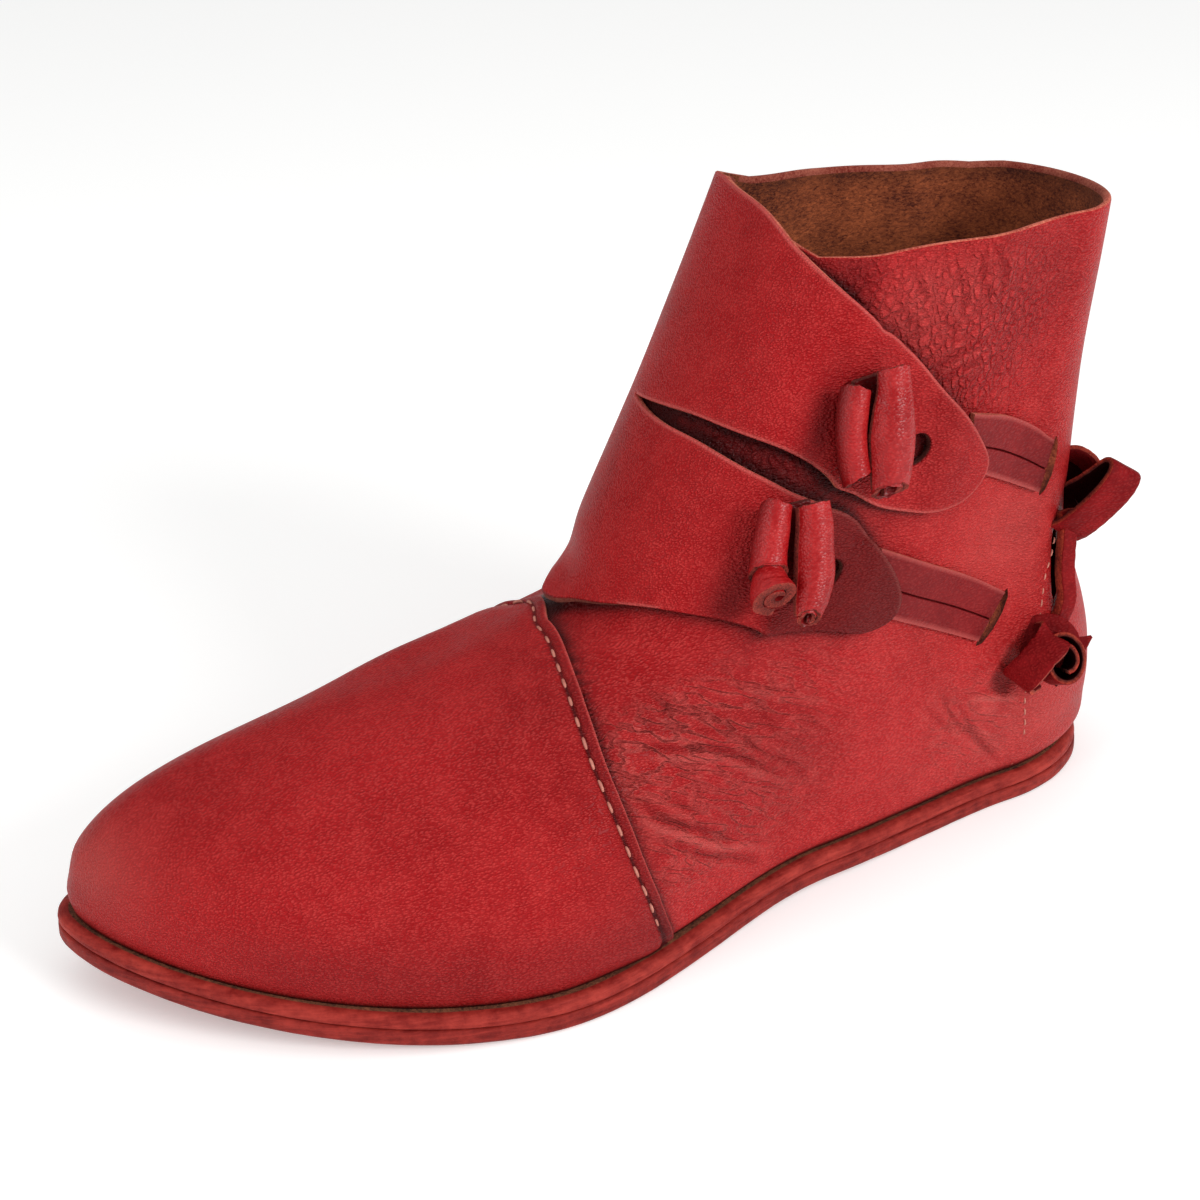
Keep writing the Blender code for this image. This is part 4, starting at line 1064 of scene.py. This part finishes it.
# %% Flap
def flap():
    loops = [outline] + holes
    ring_points = []
    for loop, inward in [(outline, 1)] + [(hole, -1) for hole in holes]:
        ahead = unit(np.roll(loop, -1, axis=0) - np.roll(loop, 1, axis=0))
        area = np.cross(loop, np.roll(loop, -1, axis=0)).sum()
        side = np.column_stack([-ahead[:, 1], ahead[:, 0]]) * np.sign(area) * inward
        for inset in EDGE_RINGS:
            ring = loop + side * inset
            keep = np.ones(len(ring), bool)
            for other in loops:
                keep &= line_distance(ring, other) > 0.9 * inset
            ring_points.append(ring[keep & inside_line(ring, outline)])
    low, high = outline.min(axis=0), outline.max(axis=0)
    grid_x, grid_z = np.meshgrid(np.arange(low[0], high[0], FLAP_STEP), np.arange(low[1], high[1], FLAP_STEP))
    grid_x[1::2] += FLAP_STEP / 2
    grid = np.column_stack([grid_x.ravel(), grid_z.ravel()])
    grid = grid[inside_line(grid, outline)]
    for loop in loops:
        grid = grid[line_distance(grid, loop) > EDGE_RINGS[-1] + 0.55 * FLAP_STEP]
    for hole in holes:
        grid = grid[~inside_line(grid, hole)]
    points = np.concatenate(loops + ring_points + [grid])
    edges, begin = [], 0
    for loop in loops:
        edges += [(begin + i, begin + (i + 1) % len(loop)) for i in range(len(loop))]
        begin += len(loop)
    filled = delaunay_2d_cdt([Vector(p) for p in points], edges, [], 1, 1e-6)
    flat = np.array([tuple(v) for v in filled[0]])
    tris = np.array([list(t) for t in filled[2]])
    for hole in holes:
        tris = tris[~inside_line(flat[tris].mean(axis=1), hole)]
    turn, z = np.interp(flat[:, 0], UNROLLED, SWEEP), flat[:, 1]
    cut = np.minimum.reduce([line_distance(flat, loop) for loop in loops])
    under = flap_under(turn, z)
    rounding = EDGE_ROUND - np.sqrt(EDGE_ROUND ** 2 - np.clip(EDGE_ROUND - cut, 0, EDGE_ROUND) ** 2)
    place = wall(turn, z)
    lift = under + WALL - rounding + 0.08 * ripple(place, 18, 41) * soft(cut / 4)
    outer, inner = wall(turn, z, lift), wall(turn, z, under + 0.3 * rounding)
    count = len(flat)
    corner_points = outer[tris]
    facing = np.cross(corner_points[:, 1] - corner_points[:, 0], corner_points[:, 2] - corner_points[:, 0])
    turned = (facing * (outer - inner)[tris[:, 0]]).sum(axis=1) < 0
    tris = np.where(turned[:, None], tris[:, ::-1], tris)
    sides = {(a, b) for t in tris.tolist() for a, b in zip(t, t[1:] + t[:1])}
    rim = [[b, a, count + a, count + b] for a, b in sides if (b, a) not in sides]
    rim.sort()
    faces = tris.tolist() + (tris[:, ::-1] + count).tolist() + rim
    kinds = [0] * len(tris) + [2] * len(tris) + [1] * len(rim)
    made = piece("flap", np.concatenate([outer, inner]), faces, (vamp_leather, cut_leather, flesh_suede),
                 ("wrap_flap",), kinds)
    made.data.set_sharp_from_angle(angle=np.radians(60))
    # Painted shadow round the toggles, and darker dye over the lower tip.
    below = z < np.interp(turn, *LOWER_TAB)
    tip_dye_and_shade = 0.66 * below * soft((turn - 70) / 28) + 0.14 * soft((turn - 100) / 12)
    tip_dye_and_shade = tip_dye_and_shade + 0.62 * spot(turn, z, 73, 120, 8, 15) + 0.55 * below * spot(turn, z, 64, 84, 9, 13)
    tip_dye_and_shade = np.clip(tip_dye_and_shade, 0, 0.7)
    # Painted shade on the buttonholes' walls.
    in_hole = np.minimum.reduce([line_distance(flat, hole) for hole in holes])
    tip_dye_and_shade = np.maximum(tip_dye_and_shade, 0.85 * (in_hole < 0.1))
    # The lower edge gets painted shade, and the upper one a painted highlight.
    edge = line_distance(flat, outline)
    low_edge = z < np.interp(turn, *LOW_EDGE)
    tip_dye_and_shade = np.maximum(tip_dye_and_shade, 0.65 * low_edge * (edge < 0.1))
    edge_highlight = 0.6 * bell(edge - 0.3, 0.35) * ~low_edge
    paint(made, "pale", np.tile(edge_highlight, 2))
    paint(made, "dark", np.tile(tip_dye_and_shade, 2))


flap()

# %% [markdown]
# ## Straps
# Each tab's tip lies over a flat strap that leaves through a slot in the quarter. The strap is a thin strip
# with raw edges and a knife cut along its middle. At the slot it turns inwards, so its last rows drop
# through the wall.

# %% Straps
# Places along the foot and heights of points along the upper and the lower edge.
STRAPS = {
    "upper": (((77.5, 118.0), (90.5, 113.8), (100.5, 108.6), (107.4, 103.4)),
              ((77.5, 103.3), (86.3, 98.9), (95.1, 94.4), (103.9, 90.0))),
    "lower": (((51.0, 89.5), (66.0, 81.6), (81.0, 73.2), (94.0, 64.9)),
              ((51.0, 72.0), (62.2, 66.0), (73.4, 60.0), (84.6, 54.0))),
}
# Rows across a strap: place from its lower edge to its upper one, and how deep the middle cut is there.
STRAP_ACROSS = ((0, 0), (0.1, 0), (0.25, 0), (0.38, 0), (0.425, 0.1), (0.445, 0.8), (0.465, 0.1), (0.5, 0),
                (0.65, 0), (0.8, 0), (0.92, 0), (1, 0))
# Where it turns into its slot: place along it, and lift.
STRAP_END = ((1.01, 0.1), (1.03, -0.6), (1.04, -1.8), (1.045, -3.4))
for name, (upper_edge, lower_edge) in STRAPS.items():
    along = [(run, 0.0) for run in np.linspace(0, 1, 40)] + list(STRAP_END)
    edges = []
    for edge in (lower_edge, upper_edge):
        places = smooth_row(edge, np.array([run for run, _ in along]) * (len(edge) - 1))
        beyond = np.clip([[run - 1] for run, _ in along], 0, None) * (np.array(edge[-1]) - edge[-2]) * 3
        edges.append(places + beyond)
    outer, inner, dark = [], [], []
    for share, cut in STRAP_ACROSS:
        for (run, drop), low, high in zip(along, *edges):
            y, z = (1 - share) * low + share * high
            turn = outer_turn(y, z)
            outer.append(wall(turn, z, GAP + STRAP_THICK + drop - cut))
            inner.append(wall(turn, z, GAP + drop))
            # Painted shade in the middle cut and where the strap turns into its slot.
            dark.append(0.75 * (cut > 0.5) + 0.2 * soft((run - 0.9) / 0.1))
    faces, kinds = sheet_faces(len(STRAP_ACROSS), len(along))
    made = piece(f"strap_{name}_band", np.concatenate([outer, inner]), faces, (strap_leather, cut_leather),
                 (f"strap_{name}",), kinds)
    paint(made, "dark", dark * 2)
    paint(made, "pale", [0.4 * (share in (0, 1)) for share, _ in STRAP_ACROSS for _ in along] * 2)
    made.data.set_sharp_from_angle(angle=np.radians(50))

# %% [markdown]
# ## Toggles
# A toggle is a strip of leather rolled up tight from both sides, so that two rolls lie beside each other.
# Plain cylinders would miss the raw spiral at their ends. Each roll is a spiral in section, swept along a
# bent axis, and a flat run behind joins the two.

# %% Rolled strips
def sweep_strip(axis, across_way, out_way, section, middle, girth, thick, slide):
    """A strip with a given section, swept along an axis. girth swells the section about its middle, and slide
    moves the section's points along the axis at its lower and upper end, for a slanting cut."""
    axis = np.asarray(axis, float)
    ahead = unit(np.gradient(axis, axis=0))
    side = unit(across_way - ahead * (ahead @ across_way)[:, None])
    out = np.cross(ahead, side)
    out *= np.sign((out @ out_way).mean())
    bend = unit(np.gradient(section, axis=0))
    off = np.column_stack([-bend[:, 1], bend[:, 0]]) * thick / 2
    place = np.linspace(-1, 1, len(axis))[:, None]
    moved = np.where(place > 0, place ** 4 * slide[1][None], place ** 4 * slide[0][None])
    grids = []
    for flat in (section + off, section - off):
        flat = middle + (flat - middle)[None] * girth[:, None, None]
        grids.append(axis[:, None] + side[:, None] * flat[..., :1] + out[:, None] * flat[..., 1:]
                     + ahead[:, None] * moved[..., None])
    return grids


def roll(middle, radius, thick, begin, turns_in, tab):
    """A roll in section, wound clockwise inwards. Its outer end may stand off as a short tab to the left."""
    share = np.linspace(0, 1, int(32 * turns_in) + 1)
    turn = np.radians(begin) - share * turns_in * 2 * np.pi
    r = radius - thick / 2 - np.clip(share * turns_in - 0.15, 0, None) * thick * 1.12
    wound = np.array(middle) + np.column_stack([np.cos(turn), np.sin(turn)]) * r[:, None]
    if tab:
        lead = np.column_stack([-np.linspace(1, 0.12, 7), 0.25 * np.linspace(1, 0.12, 7) ** 2]) * tab
        wound = np.concatenate([wound[0] + lead, wound])
    return wound


def strip_mesh(strips):
    """Points and faces of several closed strips as one mesh, and the finishes of each strip's faces."""
    points, faces, kinds = [], [], []
    for outer, inner in strips:
        start = sum(len(p) for p in points)
        more, kind = sheet_faces(*outer.shape[:2])
        points += [outer.reshape(-1, 3), inner.reshape(-1, 3)]
        faces += [[start + v for v in face] for face in more]
        kinds.append(kind)
    return np.concatenate(points), faces, kinds


print("a roll of 1.7 turns has", len(roll((0, 0), 5, 1.5, 0, 1.7, 0)), "points in section")

# %% Toggles
TOGGLE_CLEAR, ROLL_THICK = 0.5, 1.5
TOGGLES = {"upper": (91.3, 121.9), "lower": (76.2, 94.2)}
# Each roll: its middle across and outwards, radius, where its outer end lies, its turns, the outer end's tab,
# its axis from the lower to the upper end (along, across, outwards, girth), and how its two cuts slant across
# and outwards.
ROLLS = {
    "upper": (
        ((2.0, 6.7), 5.8, 172, 1.75, 0.5,
         ((-14.8, -1.2, 1.6, 0.86), (-11, -0.6, 0.9, 0.93), (-5, 0.1, 0.2, 1.02), (0, 0.2, 0, 1.05),
          (4.5, 0.5, 0, 0.96), (9, 1.1, -0.4, 0.80), (13.0, 1.3, -1.0, 0.74)), ((0.0, 0.50), (0.0, 0.30))),
        ((-5.9, 4.1), 4.2, -70, 1.0, 0,
         ((-10.2, 0.6, 1.0, 1.02), (-6, 0.0, 0.4, 1.0), (0, -0.4, 0, 1.0), (5, 0.0, 0, 1.0),
          (8.8, 0.8, -0.2, 0.96)), ((0.15, 0.54), (-0.35, 0.42))),
    ),
    "lower": (
        ((5.2, 5.4), 4.9, 165, 1.7, 1.0,
         ((-13.9, -3.2, 3.6, 0.66), (-9.5, -1.4, 1.7, 0.90), (-4, 0.0, 0.3, 1.03), (2, 0.3, 0, 1.0),
          (7.5, 0.7, -0.2, 0.94), (11.8, 0.6, -0.5, 0.86)), ((0.1, 0.45), (0.05, 0.25))),
        ((-4.1, 4.8), 4.8, -60, 1.0, 0,
         ((-5.0, -1.7, 2.4, 1.12), (-3, -1.5, 1.2, 1.06), (1, -0.9, 0.3, 1.0), (5, -0.2, 0, 0.98),
          (8.5, 0.6, 0, 0.92), (11.0, 1.5, -0.3, 0.84)), ((-0.1, 0.30), (-0.1, 0.35))),
        ((-4.1, 4.8), 3.7, -90, 1.7, 0,
         ((-10.4, -1.6, 6.9, 1.72), (-9.3, -1.7, 5.6, 1.66), (-7.0, -1.7, 3.5, 1.40), (-3, -1.4, 1.3, 1.04),
          (3, -0.6, 0.2, 0.95), (9, 0.5, 0, 0.86)), ((0.1, 0.1), (0.1, 0.3))),
    ),
}
# The flat run that joins the rolls: its ends across, how far out it lies, and its ends along.
BACKING, BACKING_OUT, BACKING_ENDS = (-5.0, 5.5), 0.9, (-11.5, 12.0)
for name, (turn, z) in TOGGLES.items():
    point, normal, upward, across = frame_at(turn, z, FLAP_GAP + WALL + TOGGLE_CLEAR)
    strips = []
    for number, (middle, radius, begin, turns_in, tab, bends, cuts) in enumerate(ROLLS[name]):
        section = roll(middle, radius, ROLL_THICK, begin, turns_in, tab)
        bends = smooth_line(bends, 45)
        axis = point + upward * bends[:, :1] + across * bends[:, 1:2] + normal * bends[:, 2:3]
        ragged = 0.35 * ripple(np.column_stack([section, section[:, 0] * 0 + number]), 0.8, 61)
        lean = section - middle
        strips.append(sweep_strip(axis, across, normal, section, np.array(middle), bends[:, 3], ROLL_THICK,
                                  (lean @ cuts[0] + ragged, lean @ cuts[1] + ragged)))
    run = np.linspace(*BACKING, 16)
    section = np.column_stack([run, np.full(16, BACKING_OUT)])
    axis = point + upward * np.linspace(*BACKING_ENDS, 21)[:, None] + across * np.linspace(0, 0.8, 21)[:, None]
    strips.append(sweep_strip(axis, across, normal, section, np.zeros(2), np.ones(21), ROLL_THICK,
                              (0.0 * run, 0.14 * run)))
    points, faces, kinds = strip_mesh(strips)
    made = piece(f"toggle_{name}_roll", points, faces, (toggle_leather, roll_end),
                 (f"toggle_{name}",), sum(kinds, []))
    # Painted shade low between the rolls, and on the rolls' inner faces.
    roll_shade = [shade for outer, _ in strips for shade in (
        0.7 * soft((8.5 - (outer - point) @ normal) / 6.5).ravel(), np.full(outer.size // 3, 0.5))]
    paint(made, "dark", np.concatenate(roll_shade))
    made.data.set_sharp_from_angle(angle=np.radians(50))

# %% [markdown]
# ## Thong at the back
# A thong laces the outer quarter at the back: a loop above, a folded knot with a tail below, and a straight
# run between. Each is a flat strip bent along a path, with a width that follows the fold, so its broad face
# and its raw edges show as they do on the boot.

# %% Thongs
THONG_THICK = 1.8
# Points across a thong as shares of half its width, and how its faces cup there.
THONG_OVER = np.array([-1, -0.94, -0.7, -0.35, 0, 0.35, 0.7, 0.94, 1])
THONG_CUP = np.array([-0.22, -0.03, 0.03, 0.02, 0, 0.02, 0.03, -0.03, -0.22])
# From this shade on, a hollow takes the finish of a shaded cut.
DEEP_SHADE = 0.9


def thong(path, breadth, width, thick, steps=8):
    """Two grids of points for a flat strip along a smooth path, its width along a given way at each point."""
    path = np.asarray(path, float)
    breadth = np.broadcast_to(np.asarray(breadth, float), path.shape)
    width = np.broadcast_to(np.asarray(width, float), (len(path),))
    fine = smooth_line(np.column_stack([path, breadth, width]), steps * (len(path) - 1) + 1)
    path, breadth, width = fine[:, :3], fine[:, 3:6], fine[:, 6]
    ahead = unit(np.gradient(path, axis=0))
    breadth = unit(breadth - ahead * (ahead * breadth).sum(axis=1, keepdims=True))
    out = np.cross(ahead, breadth)
    middle = path[:, None] + breadth[:, None] * (THONG_OVER[None, :, None] * width[:, None, None] / 2)
    ragged = 0.16 * ripple(middle, 1.1, 71) * (np.abs(THONG_OVER) > 0.9)
    ragged = ragged[..., None] * breadth[:, None]
    rise_out = out[:, None] * (thick / 2 + THONG_CUP)[None, :, None]
    return middle + rise_out + ragged, middle - rise_out + ragged


def thong_piece(name, strips, stands_for, shades):
    """Strips as one piece. shades says how much painted shade the open and the hollow side of each strip's bend
    gets.
    """
    points, faces, kinds = strip_mesh(strips)
    dark = []
    for (top, bottom), sides, kind in zip(strips, shades, kinds):
        centre = (top + bottom).mean(axis=(0, 1)) / 2
        if np.linalg.norm(top - centre, axis=2).mean() < np.linalg.norm(bottom - centre, axis=2).mean():
            sides = sides[::-1]
        count = kind.count(0) // 2
        for side, shade in enumerate(sides):
            dark += [shade] * (top.size // 3)
            if shade > DEEP_SHADE:
                kind[side * count:(side + 1) * count] = [2] * count
    made = piece(name, points, faces, (thong_leather, thong_edge, gap_leather), stands_for,
                 sum(kinds, []))
    paint(made, "dark", dark)
    made.data.set_sharp_from_angle(angle=np.radians(50))


def way(steps):
    """Steps to the photograph's right, up and towards the viewer as steps in the boot's own frame."""
    return np.asarray(steps, float) @ np.array([right, upright, back])


def seen(origin, steps):
    return origin + way(steps)


print("10 mm to the photograph's right:", way((10, 0, 0)).round(1))

# %% Knots
# Turn, height and lift of the place that each knot is drawn from.
UPPER_KNOT, LOWER_KNOT = (150.5, 81.5, 4.0), (136.5, 45, 6.4)
# The upper loop in its own ways: along it, from its near band to its far one, and across its broad face.
hole = frame_at(*UPPER_KNOT)[0]
LOOP_LONG, LOOP_FAR, LOOP_BROAD = (0.59, 0.65, 0.475), (-0.19, 0.68, -0.70), (0.78, -0.32, -0.527)
loop = np.array([(-3.5, 1.2), (0, -0.2), (6, -0.9), (11.4, -0.9), (16.4, -0.1), (19.0, 1.9), (18.0, 4.4),
                 (13.2, 5.6), (8, 7.0), (2, 9.2), (-3, 11.5)])
loop = seen(hole, (0.6, -4.6, -1.5)) + way(loop @ np.array([LOOP_LONG, LOOP_FAR]))
stub = seen(hole, [(-4, 12.5, -6), (0, 13.5, -4.5), (3.2, 12.0, -4), (5.2, 9.0, -4), (6.0, 5.0, -5)])
far = seen(hole, [(-5, 7.5, -8), (-1, 8.5, -6.5), (3.5, 6.5, -6), (7, 3, -6.5)])
# The loop's hollow side and the far strip behind it get painted shade.
thong_piece("knot_upper_loop", [thong(loop, way(LOOP_BROAD), 10.6, THONG_THICK),
                                thong(stub, way((0.4, 0.35, 0.85)), 8.5, THONG_THICK),
                                thong(far, way((0.2, 0.97, 0.1)), 9.0, THONG_THICK)],
            ("knot_upper",), ((0.0, 0.93), (0.2, 0.5), (0.93, 0.93)))

# The lower knot: a fold in front, a ring wound inwards, an arch over it, a tail, and behind it a dark strip that
# is painted shade.
base, _, _, across = frame_at(*LOWER_KNOT)
front = seen(base, [(-3.4, -4.6, -3.5), (-6.0, -5.8, -2.0), (-7.2, -5.2, 0.6), (-6.3, -3.8, 3.0),
                    (-4.2, -1.2, 4.6), (-1.8, 1.8, 5.0), (0.0, 3.6, 4.6), (1.2, 5.0, 3.2), (1.3, 6.0, 1.0),
                    (-0.4, 5.6, -1.6)])
angle, inward = np.radians(np.linspace(200, -420, 30)), np.linspace(0, 1, 30)
ring = seen(seen(base, (3.6, -0.4, -1.0)), np.column_stack([
    (6.0 - 3.4 * inward) * np.cos(angle), (7.6 - 4.8 * inward) * np.sin(angle), 1.5 * inward]))
arch = np.array([(-6.8, 2.0, -4.4), (-5.0, 6.2, -3.4), (-1.6, 8.6, -2.6), (2.8, 8.6, -2.2), (5.8, 6.0, -2.0),
                 (6.8, 2.0, -2.4), (6.0, -2.4, -3.2)])
tail = seen(base, [(7.6, 2.6, -2.4), (9.8, 4.0, -2.6), (12.6, 5.8, -3.4)])
shade_strip = seen(base, [(0.4, -4.6, -4.4), (3.6, -0.4, -4.0), (6.4, 3.4, -4.0)])
thong_piece("knot_lower_fold", [thong(front, way((0.70, -0.58, 0.40)), 8.8, THONG_THICK),
                                thong(ring, way((0.30, 0.05, 0.95)), 6.5, 1.5, 4),
                                thong(seen(base, arch), way(arch * (1, 1, 0.2)), 6.0, THONG_THICK),
                                thong(tail, way((0.3, -0.9, 0.3)), (6.0, 4.0, 0.8), 1.4),
                                thong(shade_strip, way((0.7, -0.7, 0.0)), 8.5, 1.0)],
            ("knot_lower",), ((0.0, 0.6), (0.1, 0.92), (0.2, 0.2), (0.2, 0.2), (0.94, 0.94)))

# The run between them: turn, height and lift of points along it.
THONG_RUN = ((151, 80, 1.5), (150.3, 75.6, 2.8), (149.3, 69, 2.3), (147.6, 63, 2.3), (146, 56.5, 2.9),
             (144, 51, 1.5))
thong_piece("back_thong_run", [thong([wall(*place) for place in THONG_RUN], across, 4.6, 3.0)], ("back_thong",),
            ((0.0, 0.0),))

# %% [markdown]
# ## Light and floor
# A pale sheet of paper on a light table, in a light tent that is bright overhead and dim at its sides, with
# a soft lamp at the outer side and a weaker one in front. A bright even surround would wash the red out.

# %% Floor
# The paper lies on a light table, which keeps it white behind the boot.
paper = Finish("matt paper").done({"Base Color": srgb("#FBFBFA"), "Roughness": 0.9,
                                   "Emission Color": srgb("#FFFFFF"), "Emission Strength": 0.2})
# Half the paper's size in metres.
FLOOR = 3.0
mesh = bpy.data.meshes.new("floor")
mesh.from_pydata([(x * FLOOR, y * FLOOR, 0) for x, y in ((-1, -1), (1, -1), (1, 1), (-1, 1))], [], [(0, 1, 2, 3)])
mesh.materials.append(paper)
floor = bpy.data.objects.new("floor", mesh)
bpy.context.scene.collection.objects.link(floor)
print("floor:", 2 * FLOOR, "m wide")

# %% Light
# The tent's brightness grows with height, so the floor is white all over and the leather keeps its depth.
world = bpy.data.worlds.new("light tent")
world.use_nodes = True
tree = world.node_tree
height = add(tree, "SeparateXYZ", (), {0: add(tree, "TexCoord").outputs["Generated"]})
glow = add(tree, "MapRange", {"From Min": 0.1, "From Max": 0.65, "To Min": 0.1, "To Max": 0.80},
           {"Value": height.outputs["Z"]})
tree.links.new(glow.outputs["Result"], tree.nodes["Background"].inputs["Strength"])
tree.nodes["Background"].inputs["Color"].default_value = srgb("#FFFFFF")
bpy.context.scene.world = world
# The lamps point at the middle of the boot. Each has a place and a width in metres, and a power in watts.
LIT = Vector((0, 0, 0.07))
LIGHTS = {"side": ((1.15, 0.45, 0.62), 0.6, 13.0), "front": ((0.20, -1.35, 0.60), 0.7, 6.5)}
for name, (at, size, power) in LIGHTS.items():
    lamp = bpy.data.lights.new(name, "AREA")
    lamp.shape, lamp.size, lamp.energy = "DISK", size, power
    made = bpy.data.objects.new(name, lamp)
    made.matrix_world = Matrix.Translation(at) @ (LIT - Vector(at)).to_track_quat("-Z", "Y").to_matrix().to_4x4()
    bpy.context.scene.collection.objects.link(made)
bpy.context.scene.view_settings.view_transform = "Standard"
print("lights:", ", ".join(LIGHTS))
